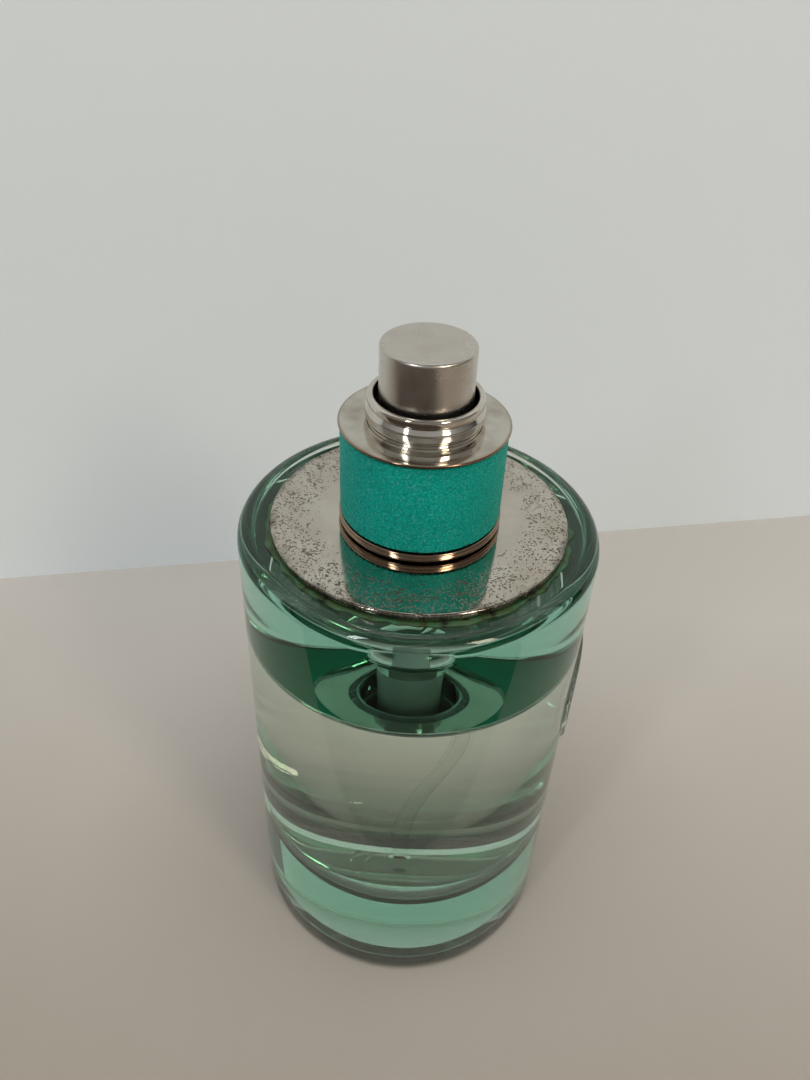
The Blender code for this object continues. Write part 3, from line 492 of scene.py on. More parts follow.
def make_pitted_nickel():
    material, tree, shader = new_material("pitted_nickel")
    at = here(tree)
    ragged = add(tree, "ShaderNodeTexNoise", {"Vector": at, "Scale": 420.0, "Detail": 5.0})
    wander = calc(tree, "MULTIPLY_ADD", ragged.outputs["Fac"], 2.0 * ZONE_WANDER, -ZONE_WANDER)
    moved = calc(tree, "ADD", from_axis(tree), wander)
    zone = remap(tree, moved, SMOOTH_ZONE - ZONE_BLUR, SMOOTH_ZONE + ZONE_BLUR, start=0.12, end=0.80)
    pits = place_group(tree, tarnish_pits, Amount=zone, Scale=4300.0)
    marks = place_group(tree, handling_marks, Size=300.0, Least=0.05, Most=0.13)
    patches = add(tree, "ShaderNodeTexNoise", {"Vector": at, "Scale": 190.0, "Detail": 5.0})
    sheen = ramp(tree, patches.outputs["Fac"], [(0.35, (0.62, 0.58, 0.52)), (0.7, (0.52, 0.47, 0.40))])
    dirty = blend(tree, pits["Mask"], sheen, PIT_BROWN)
    edge = remap(tree, moved, PLATE_R - EDGE_GRIME, PLATE_R + EDGE_GRIME)
    tree.links.new(blend(tree, edge, dirty, GRIME), shader.inputs["Base Color"])
    rough = calc(tree, "MULTIPLY_ADD", pits["Mask"], 0.4, marks["Roughness"])
    tree.links.new(rough, shader.inputs["Roughness"])
    tree.links.new(bump(tree, pits["Height"], PIT_DEPTH), shader.inputs["Normal"])
    shader.inputs["Metallic"].default_value = 1.0
    return material


pitted_nickel = make_pitted_nickel()
print("made", pitted_nickel.name)

# %% [markdown]
# ## Turning the plate
# The plate is stamped sheet with a rounded edge. Its section closes on itself, as a ring's does, so the
# helper for closed outlines rounds it before it is turned.

# %% Plate
PLATE_HOLE = 8.0 * MM
PLATE_ROUND = 0.45 * MM
PLATE_SEGMENTS = 224
plate_low, plate_top = bottom_of("shoulder_plate"), top_of("shoulder_plate")
plate = lathe("shoulder_plate_sheet", ring_outline([
    (PLATE_HOLE, plate_low, FINE),
    (PLATE_HOLE, plate_top, FINE),
    (PLATE_R, plate_top, PLATE_ROUND),
    (PLATE_R, plate_low, PLATE_ROUND),
]), PLATE_SEGMENTS, closed=True)
dress(plate, pitted_nickel, "pitted_nickel", "bottle", "shoulder_plate")

# %% [markdown]
# ## The adhesive under the plate
# The plate is held by a broad ring of teal glue. The glue wets the glass, so seen through the side the
# shoulder is a deep teal there, and inside the ring, where the glass is bare, a paler mirror. The glue has
# crept a little past the plate's edge and caught dirt, in olive and black patches.

# %% Plate adhesive
GLUE_HOLE = 12.0 * MM
GLUE_CREEP, GLUE_WANDER, GLUE_GAP = 0.55 * MM, 0.75 * MM, 0.04 * MM
GLUE_PATCH = 2.2 * MM
GLUE_BUMP = 0.05 * MM
GLUE_TEAL = (0.015, 0.62, 0.41, 1.0)


def make_plate_glue():
    material, tree, shader = new_material("plate_glue")
    stains = add(tree, "ShaderNodeTexNoise", {
        "Vector": here(tree), "Scale": 520.0, "Detail": 5.0, "Roughness": 0.7
    })
    crept = ramp(tree, stains.outputs["Fac"], [
        (0.36, (0.003, 0.003, 0.002)), (0.46, (0.03, 0.05, 0.015)), (0.64, (0.02, 0.085, 0.04))
    ])
    outside = remap(tree, from_axis(tree), PLATE_R - 2.0 * FIT, PLATE_R - FIT)
    tree.links.new(blend(tree, outside, GLUE_TEAL, crept), shader.inputs["Base Color"])
    marks = place_group(tree, handling_marks, Size=800.0, Least=0.3, Most=0.6)
    tree.links.new(marks["Roughness"], shader.inputs["Roughness"])
    tree.links.new(bump(tree, stains.outputs["Fac"], GLUE_BUMP), shader.inputs["Normal"])
    return material


glue = lathe("plate_adhesive", ring_outline([
    (GLUE_HOLE, SHOULDER - WET, 0.0),
    (GLUE_HOLE, plate_low - GLUE_GAP, 0.0),
    (PLATE_R, plate_low - GLUE_GAP, FINE),
    (PLATE_R, SHOULDER - WET, 0.0),
]), PLATE_SEGMENTS, closed=True)
for vertex in glue.data.vertices:
    x, y = vertex.co.xy
    if math.hypot(x, y) > PLATE_R - FIT:
        wander = noise.noise(Vector((x, y, 0.0)) / GLUE_PATCH)
        swell = 1.0 + (GLUE_CREEP + GLUE_WANDER * wander) / PLATE_R
        vertex.co.x, vertex.co.y = x * swell, y * swell
dress(glue, make_plate_glue(), "gasket_rubber", "bottle")

# %% [markdown]
# ## The collar cup
# The collar over the plate is a drawn cup: a doubled lip at the bottom, a sunk seat for the band and a thin
# flange that rolls over the top. Its whole section is one outline, turned about the axis. Its lip and the
# flange's edge are rubbed brown.

# %% Outer collar
FLANGE_R = radius_of("outer_collar")
BAND_R = radius_of("collar_band")
COLLAR_BORE = radius_of("collar_liner") + FIT
COLLAR_WALL, COLLAR_TOP_WALL = 0.5 * MM, 0.7 * MM
BAND_SEAT = COLLAR_BORE + COLLAR_WALL
LIP_PROUD, LIP_GROOVE = 0.15 * MM, 0.12 * MM
LIP_R = BAND_R + LIP_PROUD
LIP_TOP_ROUND, GROOVE_ROUND, GROOVE_FLOOR = 0.25 * MM, 0.08 * MM, 0.03 * MM
HOLE_GAP, HOLE_ROUND = 0.03 * MM, 0.12 * MM
RING_R, RING_BEAD, RING_HOLE = 8.0 * MM, 0.3 * MM, 7.1 * MM
collar_low, collar_top = bottom_of("outer_collar"), top_of("outer_collar")
collar_roof = collar_top - COLLAR_TOP_WALL
lip_top = bottom_of("collar_band") - FIT
lip_mid = (collar_low + lip_top) / 2.0
flange_low = top_of("collar_band") + FIT
collar_hole = RING_R + HOLE_GAP
collar = lathe("outer_collar_cup", ring_outline([
    (COLLAR_BORE, collar_low, FINE),
    (COLLAR_BORE, collar_roof, SOFT),
    (collar_hole, collar_roof, FINE),
    (collar_hole, collar_top, HOLE_ROUND),
    (FLANGE_R, collar_top, SOFT),
    (FLANGE_R, flange_low, SOFT),
    (BAND_SEAT, flange_low, TIGHT),
    (BAND_SEAT, lip_top, TIGHT),
    (LIP_R, lip_top, LIP_TOP_ROUND),
    (LIP_R, lip_mid + LIP_GROOVE, GROOVE_ROUND),
    (LIP_R - LIP_GROOVE, lip_mid, GROOVE_FLOOR),
    (LIP_R, lip_mid - LIP_GROOVE, GROOVE_ROUND),
    (LIP_R, collar_low, FULL),
]), closed=True)
print(f"collar {2 * FLANGE_R / MM:.1f} mm across its flange")

# %% Collar finish
ROLL_WIDTH = 0.4 * MM
POLISH_BUMP = 0.0008 * MM


def rubbed_edges(tree):
    """The lip and the rolled edge of the flange, where fingers have rubbed the plating thin."""
    lip = remap(tree, height_on(tree), lip_top, lip_top + FIT, start=0.85, end=0.0)
    roll = remap(tree, from_axis(tree), FLANGE_R - ROLL_WIDTH, FLANGE_R)
    return calc(tree, "MAXIMUM", lip, roll)


collar_nickel = nickel(
    "collar_nickel", colour=(0.62, 0.59, 0.53), worn=(0.42, 0.37, 0.31), least=0.06, most=0.2,
    depth=POLISH_BUMP, rubbed=rubbed_edges
)
dress(collar, collar_nickel, "polished_nickel", "bottle", "outer_collar")

# %% [markdown]
# ## The beaded ring
# A cap would snap over this ring, so it has a full bead below and a slim one above, with a fine groove
# between.

# %% Step collar
STEP_R = radius_of("step_collar")
STEP_WALL = 0.45 * MM
STEP_BORE = STEP_R - STEP_WALL
BEAD_UP, BEAD_OVER, BEAD_UNDER = 1.55 * MM, 0.5 * MM, 0.6 * MM
GROOVE_UP, GROOVE_SUNK, GROOVE_LIP = 2.75 * MM, 0.15 * MM, 0.3 * MM
CROWN_PROUD, CROWN_ROUND = 0.05 * MM, 0.42 * MM
RING_FOOT = 0.4 * MM
step_low, ring_top = bottom_of("step_collar"), top_of("step_collar")
step_top = collar_roof - FIT
step_roof = step_top - STEP_WALL
bead_mid = collar_top + BEAD_UP
groove = collar_top + GROOVE_UP
ring = lathe("cap_ring", ring_outline([
    (STEP_BORE, step_low, FINE),
    (STEP_BORE, step_roof, SOFT),
    (RING_HOLE, step_roof, SOFT),
    (RING_HOLE, ring_top, CROWN_ROUND),
    (RING_R + CROWN_PROUD, ring_top, CROWN_ROUND),
    (RING_R + CROWN_PROUD, groove + GROOVE_LIP, SOFT),
    (RING_R - GROOVE_SUNK, groove, FINE),
    (RING_R + RING_BEAD, bead_mid + BEAD_OVER, BROAD),
    (RING_R + RING_BEAD, bead_mid - BEAD_UNDER, BROAD),
    (RING_R, collar_top + RING_FOOT, SOFT),
    (RING_R, step_top, FINE),
    (STEP_R, step_top, FULL),
    (STEP_R, step_low, FINE),
]), closed=True)
print(f"ring stands {(ring_top - collar_top) / MM:.1f} mm over the collar")

# %% Ring finish
# How far into the bore the painted shade is full, and where it has faded out.
SHADE_FULL, SHADE_GONE = 0.1 * MM, 0.25 * MM


def painted_bore_shade(tree):
    """The bore round the actuator, painted near black: painted shade for the deep, dark gap."""
    return remap(tree, from_axis(tree), RING_HOLE + SHADE_FULL, RING_HOLE + SHADE_GONE, start=1.0, end=0.0)


# Under the bore mask the ring is painted near black: painted shade in the gap round the actuator.
ring_nickel = nickel(
    "ring_nickel", colour=(0.70, 0.66, 0.60), worn=(0.56, 0.49, 0.41), least=0.05, most=0.14,
    depth=POLISH_BUMP, rubbed=painted_bore_shade, under=(0.015, 0.012, 0.009)
)
dress(ring, ring_nickel, "polished_nickel", "bottle", "step_collar")

# %% [markdown]
# ## The leather band
# A strip of grained leathercloth is glued into the collar's seat. Its grain is a net of fine creases, which
# a cell pattern's borders draw well; the creases are painted darker as painted shade, and scattered flecks
# are painted lighter as painted highlights. The strip was cut from a sheet, so its lower edge is a little
# frayed, and its two ends meet in a butt seam at the back.

# %% Leather grain group
GRAIN_WARP = (0.3 * MM, 0.3 * MM, 0.3 * MM)


def make_leather_grain():
    group, given, put = new_group("leather_grain", ["Scale"], ["Height", "Crease"])
    at = here(group)
    warp = add(group, "ShaderNodeTexNoise", {"Vector": at, "Scale": 1500.0, "Detail": 2.0})
    shift = add(group, "ShaderNodeVectorMath", {
        0: warp.outputs["Color"], 1: GRAIN_WARP, 2: at
    }, operation="MULTIPLY_ADD")
    cells = add(group, "ShaderNodeTexVoronoi", {
        "Vector": shift.outputs[0], "Scale": given["Scale"]
    }, feature="DISTANCE_TO_EDGE")
    crease = remap(group, cells.outputs["Distance"], low=0.0, high=0.16)
    pores = add(group, "ShaderNodeTexNoise", {"Vector": at, "Scale": 6500.0, "Detail": 3.0})
    height = calc(group, "MULTIPLY_ADD", pores.outputs["Fac"], 0.35, crease)
    group.links.new(height, put["Height"])
    group.links.new(crease, put["Crease"])
    return group


leather_grain = make_leather_grain()
print("group:", leather_grain.name)

# %% Leather material
FRAY_WANDER, FRAY_FULL, FRAY_GONE = 1.6 * MM, 0.75 * MM, 1.05 * MM
GRAIN_DEPTH = 0.06 * MM
# The crease colour is painted shade, and the fleck colour is a painted highlight.
CREASE_SHADE, PAINTED_HIGHLIGHT = (0.0, 0.25, 0.195, 1.0), (0.10, 0.46, 0.37, 1.0)
FRAYED_EDGE = (0.006, 0.05, 0.04, 1.0)
band_low, band_top = bottom_of("collar_band"), top_of("collar_band")


def make_turquoise_leather():
    material, tree, shader = new_material("turquoise_leather")
    grain = place_group(tree, leather_grain, Scale=1900.0)
    at = here(tree)
    tone = add(tree, "ShaderNodeTexNoise", {"Vector": at, "Scale": 150.0, "Detail": 5.0})
    dye = ramp(tree, tone.outputs["Fac"], [(0.3, (0.0, 0.36, 0.29)), (0.7, (0.004, 0.43, 0.35))])
    worn = add(tree, "ShaderNodeTexNoise", {"Vector": at, "Scale": 2600.0, "Detail": 3.0}).outputs["Fac"]
    # Darker in the creases: painted shade.
    sunk = blend(tree, grain["Crease"], CREASE_SHADE, dye)
    # Where the fine noise is high, flecks are painted lighter: painted highlights.
    light = blend(tree, remap(tree, worn, low=0.55, high=0.72, end=0.6), sunk, PAINTED_HIGHLIGHT)
    edge = calc(tree, "MULTIPLY_ADD", worn, FRAY_WANDER, height_on(tree))
    fray = remap(tree, edge, band_low + FRAY_FULL, band_low + FRAY_GONE, start=1.0, end=0.0)
    tree.links.new(blend(tree, fray, light, FRAYED_EDGE), shader.inputs["Base Color"])
    rough = remap(tree, grain["Crease"], start=0.62, end=0.45)
    tree.links.new(rough, shader.inputs["Roughness"])
    tree.links.new(bump(tree, grain["Height"], GRAIN_DEPTH), shader.inputs["Normal"])
    shader.inputs["Specular IOR Level"].default_value = 0.15
    return material


turquoise_leather = make_turquoise_leather()
print("made", turquoise_leather.name)


# %% Band
def open_ring(name, outline, gap, segments):
    """Turns a closed outline into a ring with a gap at the back (+Y), and caps its two ends."""
    bm = bmesh.new()
    points = [bm.verts.new((p[0], 0.0, p[1])) for p in outline]
    start = bm.faces.new(points)
    bmesh.ops.rotate(bm, verts=points, matrix=Matrix.Rotation(math.radians(90.0) + gap / 2.0, 3, "Z"))
    bmesh.ops.spin(bm, geom=[start], cent=(0, 0, 0), axis=(0, 0, 1), angle=math.tau - gap, steps=segments)
    bmesh.ops.recalc_face_normals(bm, faces=bm.faces)
    return to_object(name, bm)


SEAM_GAP = 0.12 * MM
GLUE_LINE = 0.05 * MM
BAND_SEGMENTS = 256
band = open_ring("leather_band", ring_outline([
    (BAND_SEAT + GLUE_LINE, band_low, TIGHT),
    (BAND_SEAT + GLUE_LINE, band_top, TIGHT),
    (BAND_R, band_top, SOFT),
    (BAND_R, band_low, SOFT),
]), SEAM_GAP / BAND_R, BAND_SEGMENTS)
dress(band, turquoise_leather, "turquoise_leather", "bottle", "collar_band")

# %% [markdown]
# ## The actuator
# The button is a thin drawn cap over a plastic core. On its back a small window shows the spray insert with
# its fine orifice. The window is cut with a Boolean, because a turned outline can't hold a hole in its
# side.

# %% Actuator shell
ACT_R = radius_of("actuator_shell")
SHEET = 0.35 * MM
SKIRT_ROUND = 0.12 * MM
SHELL_SEGMENTS, HOLE_SEGMENTS = 160, 64
act_low, act_top = bottom_of("actuator_shell"), top_of("actuator_shell")
nozzle_low, nozzle_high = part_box("nozzle_insert")
nozzle_mid = (nozzle_low[2] + nozzle_high[2]) / 2.0
nozzle_r = (nozzle_high[2] - nozzle_low[2]) / 2.0
shell = lathe("actuator_cap", rounded([
    (0.0, act_top, 0.0),
    (ACT_R, act_top, BROAD),
    (ACT_R, act_low, SKIRT_ROUND),
    (ACT_R - SHEET, act_low, TIGHT),
    (ACT_R - SHEET, act_top - SHEET, SOFT),
    (0.0, act_top - SHEET, 0.0),
]), SHELL_SEGMENTS)


def bore_along_y(obj, radius, near, far, height):
    """Cuts a round hole along Y and keeps the result as the piece's own mesh."""
    bm = bmesh.new()
    bmesh.ops.create_cone(
        bm, cap_ends=True, segments=HOLE_SEGMENTS, radius1=radius, radius2=radius, depth=far - near
    )
    bmesh.ops.rotate(bm, matrix=Matrix.Rotation(math.radians(90.0), 3, "X"), verts=bm.verts)
    bmesh.ops.translate(bm, vec=(0.0, (near + far) / 2.0, height), verts=bm.verts)
    tool = to_object("hole", bm)
    cut = obj.modifiers.new("hole", "BOOLEAN")
    cut.object = tool
    graph = bpy.context.evaluated_depsgraph_get()
    mesh = bpy.data.meshes.new_from_object(obj.evaluated_get(graph))
    obj.modifiers.clear()
    obj.data = mesh
    soften(mesh)
    bpy.data.objects.remove(tool)


bore_along_y(shell, nozzle_r - FIT, ACT_R / 2.0, 2.0 * ACT_R, nozzle_mid)
dress(shell, satin_nickel, "satin_nickel", "actuator", "actuator_shell")

# %% [markdown]
# ## Moulded plastics, rubber and wire
# The pump's own pieces are moulded in white or natural plastic, sealed with dark rubber and driven by a
# steel spring. Each finish has the faint mottling of its process.

# %% Plastic and rubber materials
PEEL_BUMP = 0.002 * MM


def moulded(name, colour, shade, roughness, see_through=0.0, ior=1.5):
    """Moulded plastic or rubber: two close tones and a fine orange-peel bump."""
    material, tree, shader = new_material(name)
    marks = place_group(tree, handling_marks, Size=500.0, Least=roughness, Most=roughness + 0.1)
    tone = add(tree, "ShaderNodeTexNoise", {"Vector": here(tree), "Scale": 700.0, "Detail": 3.0})
    tones = ramp(tree, tone.outputs["Fac"], [(0.3, shade), (0.7, colour)])
    tree.links.new(tones, shader.inputs["Base Color"])
    tree.links.new(marks["Roughness"], shader.inputs["Roughness"])
    tree.links.new(bump(tree, marks["Height"], PEEL_BUMP), shader.inputs["Normal"])
    shader.inputs["IOR"].default_value = ior
    shader.inputs["Transmission Weight"].default_value = see_through
    return material


white_plastic = moulded("white_plastic", (0.82, 0.82, 0.80), (0.76, 0.76, 0.74), roughness=0.35)
natural_plastic = moulded(
    "natural_plastic", (0.90, 0.91, 0.90), (0.85, 0.87, 0.86), roughness=0.18, see_through=0.25
)
tube_plastic = moulded(
    "tube_plastic", (0.97, 0.98, 0.97), (0.93, 0.95, 0.94), roughness=0.05, see_through=1.0, ior=1.03
)
grey_plastic = moulded("grey_plastic", (0.34, 0.34, 0.35), (0.29, 0.29, 0.30), roughness=0.45)
gasket_rubber = moulded("gasket_rubber", (0.10, 0.10, 0.10), (0.07, 0.07, 0.07), roughness=0.6)
bare_aluminium = nickel(
    "bare_aluminium", colour=(0.76, 0.76, 0.77), worn=(0.68, 0.68, 0.69), least=0.28, most=0.40,
    depth=0.002 * MM
)
spring_steel = nickel(
    "spring_steel", colour=(0.56, 0.56, 0.57), worn=(0.46, 0.46, 0.47), least=0.22, most=0.34,
    depth=0.001 * MM
)
print("made the plastics, the rubber and the bare metals")

# %% Finishes for the solids that stay
kept_solids = {
    "collar_liner": grey_plastic, "crimp_ferrule": bare_aluminium, "neck_gasket": gasket_rubber,
    "pump_turret": white_plastic, "stem_seal": gasket_rubber, "pump_stem": white_plastic,
    "pump_piston": natural_plastic, "outlet_poppet": white_plastic, "inlet_ball": spring_steel,
    "actuator_core": white_plastic,
}
for node, material in kept_solids.items():
    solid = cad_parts[node]
    solid.data.materials.clear()
    solid.data.materials.append(material)
print("finished", len(kept_solids), "solids in place")

# %% [markdown]
# ## Spray insert, pump body, dip tube and spring
# The insert shows in the actuator's window. The pump body and the dip tube show through the glass, so both
# are made fine. The tube hangs from the pump and bows to one side and back, as tube cut from a coil does.

# %% Spray insert
ORIFICE_R, CONE = 0.25 * MM, 0.7 * MM
INSERT_SEGMENTS = 64
face, back = nozzle_high[1], nozzle_low[1]
insert = lathe("spray_insert", ring_outline([
    (ORIFICE_R, back, 0.0),
    (ORIFICE_R, face - CONE, TIGHT),
    (nozzle_r - CONE, face, FINE),
    (nozzle_r, face, SLIM),
    (nozzle_r, back, FINE),
]), INSERT_SEGMENTS, closed=True)
to_the_back = Matrix.Rotation(math.radians(-90.0), 4, "X")
insert.data.transform(Matrix.Translation((0.0, 0.0, nozzle_mid)) @ to_the_back)
dress(insert, white_plastic, "white_plastic", "actuator", "nozzle_insert")

# %% Pump body
STACK_R = radius_of("pump_housing")
PUMP_R, PUMP_BORE, PUMP_ROUND = 4.4 * MM, 3.3 * MM, 0.6 * MM
NIPPLE_R, SOCKET_R, SOCKET_DEEP = 2.3 * MM, 1.45 * MM, 5.1 * MM
INLET_R, SEAT_RISE = 0.6 * MM, 0.9 * MM
CHAMBER_R, CHAMBER_LIP_R = 1.5 * MM, 0.9 * MM
LEDGE_TALL, CHAMBER_DEEP = 0.7 * MM, 3.5 * MM
STACK_TALL = 1.2 * MM
PUMP_SEGMENTS = 96
pump_low, pump_top = bottom_of("pump_housing"), top_of("pump_housing")
ledge = bottom_of("return_spring") - FIT
chamber_top, chamber_low = ledge - LEDGE_TALL, ledge - CHAMBER_DEEP
pump_body = lathe("pump_body", ring_outline([
    (SOCKET_R, pump_low, FINE),
    (SOCKET_R, pump_low + SOCKET_DEEP, 0.0),
    (INLET_R, pump_low + SOCKET_DEEP, 0.0),
    (INLET_R, chamber_low - SEAT_RISE, 0.0),
    (CHAMBER_R, chamber_low, 0.0),
    (CHAMBER_R, chamber_top, 0.0),
    (CHAMBER_LIP_R, chamber_top, 0.0),
    (CHAMBER_LIP_R, ledge, 0.0),
    (PUMP_BORE, ledge, FINE),
    (PUMP_BORE, pump_top, FINE),
    (STACK_R, pump_top, SLIM),
    (STACK_R, pump_top - STACK_TALL, SLIM),
    (PUMP_R, pump_top - STACK_TALL, FULL),
    (PUMP_R, chamber_top, PUMP_ROUND),
    (NIPPLE_R, chamber_low, PUMP_ROUND),
    (NIPPLE_R, pump_low, SLIM),
]), PUMP_SEGMENTS, closed=True)
dress(pump_body, natural_plastic, "clear_plastic", "bottle", "pump_housing")


# %% Sweep helper
def sweep(name, route, radius, sides, bore=0.0):
    """A round tube along a route of points; with a bore its skin turns back inside."""
    path = [Vector(p) for p in route]
    bm = bmesh.new()
    side = Vector((0.0, 1.0, 0.0))
    loops = []
    for wall in ([radius, bore] if bore else [radius]):
        ordered = path if wall == radius else path[::-1]
        for index, point in enumerate(ordered):
            ahead_point = ordered[min(index + 1, len(ordered) - 1)]
            along = (ahead_point - ordered[max(index - 1, 0)]).normalized()
            across = along.cross(side).normalized()
            over = across.cross(along)
            turn = 1.0 if wall == radius else -1.0
            loops.append([
                bm.verts.new(point + wall * (math.cos(a) * across + math.sin(a) * over))
                for a in (turn * math.tau * k / sides for k in range(sides))
            ])
    ends = zip(loops, loops[1:] + loops[:1]) if bore else zip(loops, loops[1:])
    for first, second in ends:
        for k in range(sides):
            bm.faces.new((first[k], first[(k + 1) % sides], second[(k + 1) % sides], second[k]))
    if not bore:
        bm.faces.new(loops[0][::-1])
        bm.faces.new(loops[-1])
    bmesh.ops.recalc_face_normals(bm, faces=bm.faces)
    return to_object(name, bm)


# %% Dip tube
TUBE_R, TUBE_BORE, TUBE_SIDES = 1.15 * MM, 0.7 * MM, 24
TUBE_STRAIGHT = 1.0 * MM
TUBE_BOW = 5.8 * MM
TUBE_PEAK, TUBE_RISE, TUBE_POINTS = 0.3, 1.5, 60
TUBE_FALL = TUBE_RISE * (1.0 - TUBE_PEAK) / TUBE_PEAK
tube_top, tube_low = top_of("dip_tube"), bottom_of("dip_tube")
bend_top = pump_low - TUBE_STRAIGHT
tube_route = [(0.0, 0.0, tube_top), (0.0, 0.0, (tube_top + bend_top) / 2.0)]
for share in np.linspace(0.0, 1.0, TUBE_POINTS):
    rise = (share / TUBE_PEAK) ** TUBE_RISE
    fall = ((1.0 - share) / (1.0 - TUBE_PEAK)) ** TUBE_FALL
    tube_route.append((TUBE_BOW * rise * fall, 0.0, bend_top + (tube_low - bend_top) * share))
tube = sweep("dip_tube_fine", tube_route, TUBE_R, TUBE_SIDES, TUBE_BORE)
dress(tube, tube_plastic, "clear_plastic", "bottle", "dip_tube")

# %% Return spring
WIRE_R, WIRE_SIDES = 0.25 * MM, 10
COIL_R, TURNS, TURN_STEPS = 2.4 * MM, 6, 32
spring_low, spring_top = bottom_of("return_spring"), top_of("return_spring")
coil = []
for step in range(TURNS * TURN_STEPS + 1):
    angle = math.tau * step / TURN_STEPS
    height = spring_low + WIRE_R + (spring_top - spring_low - 2 * WIRE_R) * step / (TURNS * TURN_STEPS)
    coil.append((COIL_R * math.cos(angle), COIL_R * math.sin(angle), height))
spring = sweep("return_spring_coil", coil, WIRE_R, WIRE_SIDES)
spring.data.materials.append(spring_steel)
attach(spring, "bottle")
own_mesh(spring)
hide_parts("return_spring")

# %% [markdown]
# ## Stage
# A pale table and a pale wall stand round the bottle. The table is painted darker towards the viewer, as
# painted shade. The wall is see-through from behind, so that views from the other side aren't blocked.

# %% Stage
def stage_material(name, near, far, one_sided=False):
    """A plain sheet whose colour shifts softly from near the viewer to near the wall; the darker near end is
    painted shade.
    """
    material, tree, shader = new_material(name)
    at = add(tree, "ShaderNodeNewGeometry")
    depth = add(tree, "ShaderNodeSeparateXYZ", {0: at.outputs["Position"]}).outputs["Y"]
    share = remap(tree, depth, low=-0.06, high=0.1)
    cloud = add(tree, "ShaderNodeTexNoise", {"Vector": at.outputs["Position"], "Scale": 9.0, "Detail": 4.0})
    patchy = calc(tree, "MULTIPLY_ADD", cloud.outputs["Fac"], 0.3, share)
    tree.links.new(ramp(tree, patchy, [(0.15, near), (1.15, far)]), shader.inputs["Base Color"])
    shader.inputs["Roughness"].default_value = 0.75
    if one_sided:
        clear = add(tree, "ShaderNodeBsdfTransparent")
        mix = add(tree, "ShaderNodeMixShader", {0: at.outputs["Backfacing"]})
        tree.links.new(shader.outputs[0], mix.inputs[1])
        tree.links.new(clear.outputs[0], mix.inputs[2])
        tree.links.new(mix.outputs[0], tree.nodes["Material Output"].inputs["Surface"])
    return material


def flat_stage(name, material, width, length):
    bm = bmesh.new()
    bmesh.ops.create_grid(bm, x_segments=1, y_segments=1, size=0.5)
    bmesh.ops.scale(bm, vec=(width, length, 1.0), verts=bm.verts)
    sheet = to_object(name, bm)
    sheet.data.materials.append(material)
    return sheet


WALL_DISTANCE, WALL_MIDDLE = 98.5 * MM, 0.6
WALL_TURN = math.radians(12.3)
# The table's darker near colour is painted shade.
pale_table = stage_material("pale_table", near=(0.26, 0.222, 0.184), far=(0.41, 0.38, 0.345))
pale_wall = stage_material("pale_wall", near=(0.77, 0.82, 0.845), far=(0.81, 0.85, 0.865), one_sided=True)
flat_stage("table", pale_table, width=3.0, length=3.0)
wall = flat_stage("wall", pale_wall, width=3.0, length=1.2)
wall.rotation_euler = (math.radians(90.0), 0.0, WALL_TURN)
wall.location = (0.0, WALL_DISTANCE, WALL_MIDDLE)
print("stage: table and wall")

# %% [markdown]
# ## A dark card for the metal
# Polished metal only shows what stands round it. A photographer lays a dark card in front to give it a deep
# tone beside its highlights. This one is seen by mirror-like rays alone, so it never shows on the table
# itself.

# %% Dark card
CARD_BROWN = (0.03, 0.02, 0.013)
CARD_PLACE = (-0.1, -0.26, 0.5 * MM)
card = flat_stage("dark_card", stage_material("card_brown", CARD_BROWN, CARD_BROWN), width=0.4, length=0.42)
card.location = CARD_PLACE
card.visible_camera = False
card.visible_diffuse = False
card.visible_transmission = False
card.visible_shadow = False
print("dark card in front of the bottle")

# %% [markdown]
# ## Camera
# The camera looks down on the bottle from the front. Its place, its three angles and its focal length come
# from a fit to the ellipses that the round pieces make in the picture.

# %% Camera
CAMERA_PLACE = Vector((0.0, -104.8 * MM, 163.0 * MM))
PITCH, YAW, ROLL = math.radians(38.37), math.radians(-1.08), math.radians(2.62)
FOCAL_PIXELS, IMAGE_HEIGHT = 876.0, 1080.0
ahead = Vector((math.sin(YAW) * math.cos(PITCH), math.cos(YAW) * math.cos(PITCH), -math.sin(PITCH)))
level = Vector((math.cos(YAW), -math.sin(YAW), 0.0))
upright = level.cross(ahead)
right = math.cos(ROLL) * level + math.sin(ROLL) * upright
up = -math.sin(ROLL) * level + math.cos(ROLL) * upright
lens = bpy.data.cameras.new("camera")
lens.sensor_fit = "VERTICAL"
lens.sensor_height = 36.0
lens.lens = FOCAL_PIXELS / IMAGE_HEIGHT * lens.sensor_height
lens.clip_start = 0.005
camera = bpy.data.objects.new("camera", lens)
camera.matrix_world = Matrix.Translation(CAMERA_PLACE) @ Matrix((right, up, -ahead)).transposed().to_4x4()
bpy.context.scene.collection.objects.link(camera)
bpy.context.scene.camera = camera
print(f"camera {lens.lens:.1f} mm, {CAMERA_PLACE.length / MM:.0f} mm away")

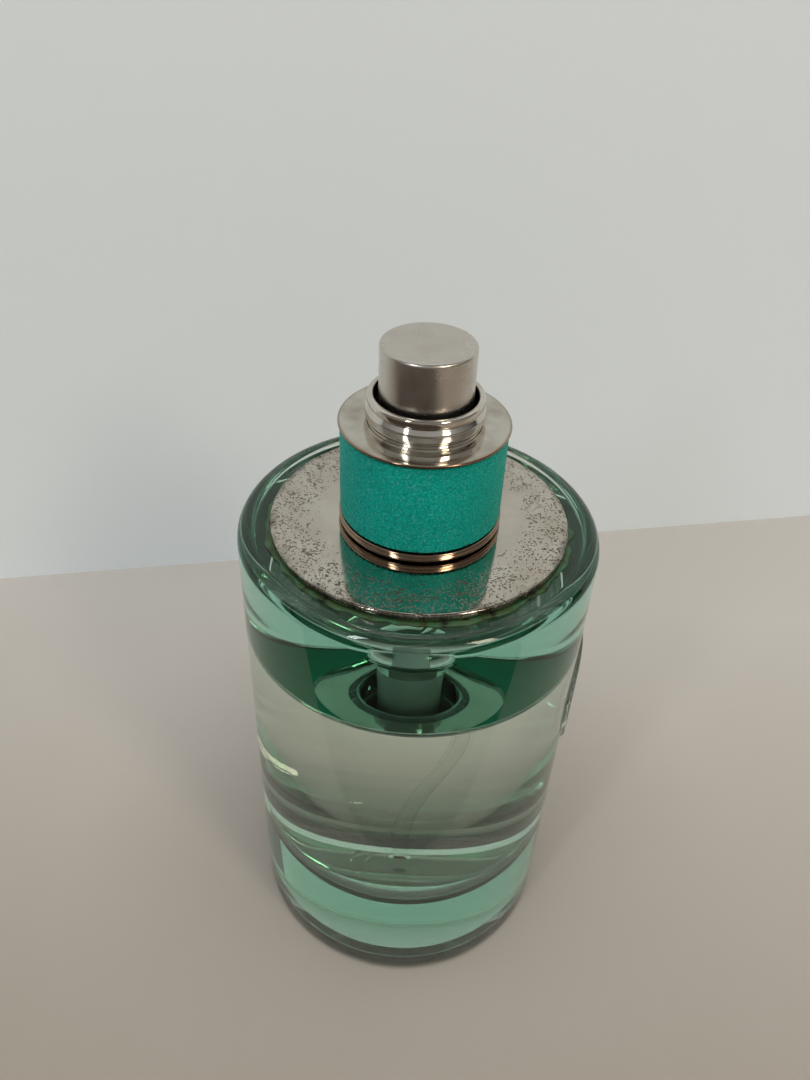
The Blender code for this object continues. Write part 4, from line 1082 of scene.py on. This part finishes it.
# %% [markdown]
# ## Light
# A broad ceiling light fills the room but stays out of reflections and out of the glass. A narrow window
# and a warm lamp give the metal its highlights, and of the three only the lamp is seen through the glass.
# The room itself is dim low down, pale in a belt higher up and shaded overhead.

# %% Lights
LIGHT_AIM = Vector((0.0, 0.0, 0.06))


def soft_light(name, place, size, power, colour, mirrored, seen_through):
    data = bpy.data.lights.new(name, "AREA")
    data.shape = "RECTANGLE"
    data.size, data.size_y = size
    data.energy = power
    data.color = colour
    lamp = bpy.data.objects.new(name, data)
    lamp.location = place
    lamp.rotation_euler = (LIGHT_AIM - Vector(place)).to_track_quat("-Z", "Y").to_euler()
    lamp.visible_glossy = mirrored
    lamp.visible_transmission = seen_through
    bpy.context.scene.collection.objects.link(lamp)


soft_light(
    "ceiling", place=(0.0, 0.0, 1.3), size=(1.2, 1.2), power=24.0, colour=(0.96, 0.985, 1.0),
    mirrored=False, seen_through=False
)
soft_light(
    "window", place=(-0.5, -0.74, 0.75), size=(0.1, 0.5), power=2.2, colour=(0.9, 0.96, 1.0),
    mirrored=True, seen_through=False
)
soft_light(
    "lamp", place=(0.62, -0.66, 0.75), size=(0.22, 0.4), power=3.2, colour=(1.0, 0.9, 0.74),
    mirrored=True, seen_through=True
)
print("lights: ceiling, window and lamp")

# %% Room and render settings
DIM, PALE, SHADED = (0.085, 0.08, 0.074), (0.36, 0.365, 0.36), (0.14, 0.13, 0.12)
world = bpy.data.worlds.new("room")
world.use_nodes = True
sky = world.node_tree
direction = add(sky, "ShaderNodeTexCoord").outputs["Generated"]
upness = add(sky, "ShaderNodeSeparateXYZ", {0: direction}).outputs["Z"]
room = ramp(sky, upness, [(0.18, DIM), (0.42, PALE), (0.56, PALE), (0.75, SHADED)])
sky.links.new(room, sky.nodes["Background"].inputs["Color"])
bpy.context.scene.world = world
settings = bpy.context.scene.cycles
settings.max_bounces = 32
settings.transmission_bounces = 32
settings.transparent_max_bounces = 24
settings.glossy_bounces = 12
bpy.context.scene.view_settings.view_transform = "Standard"
print("room:", world.name, "with", settings.max_bounces, "bounces")
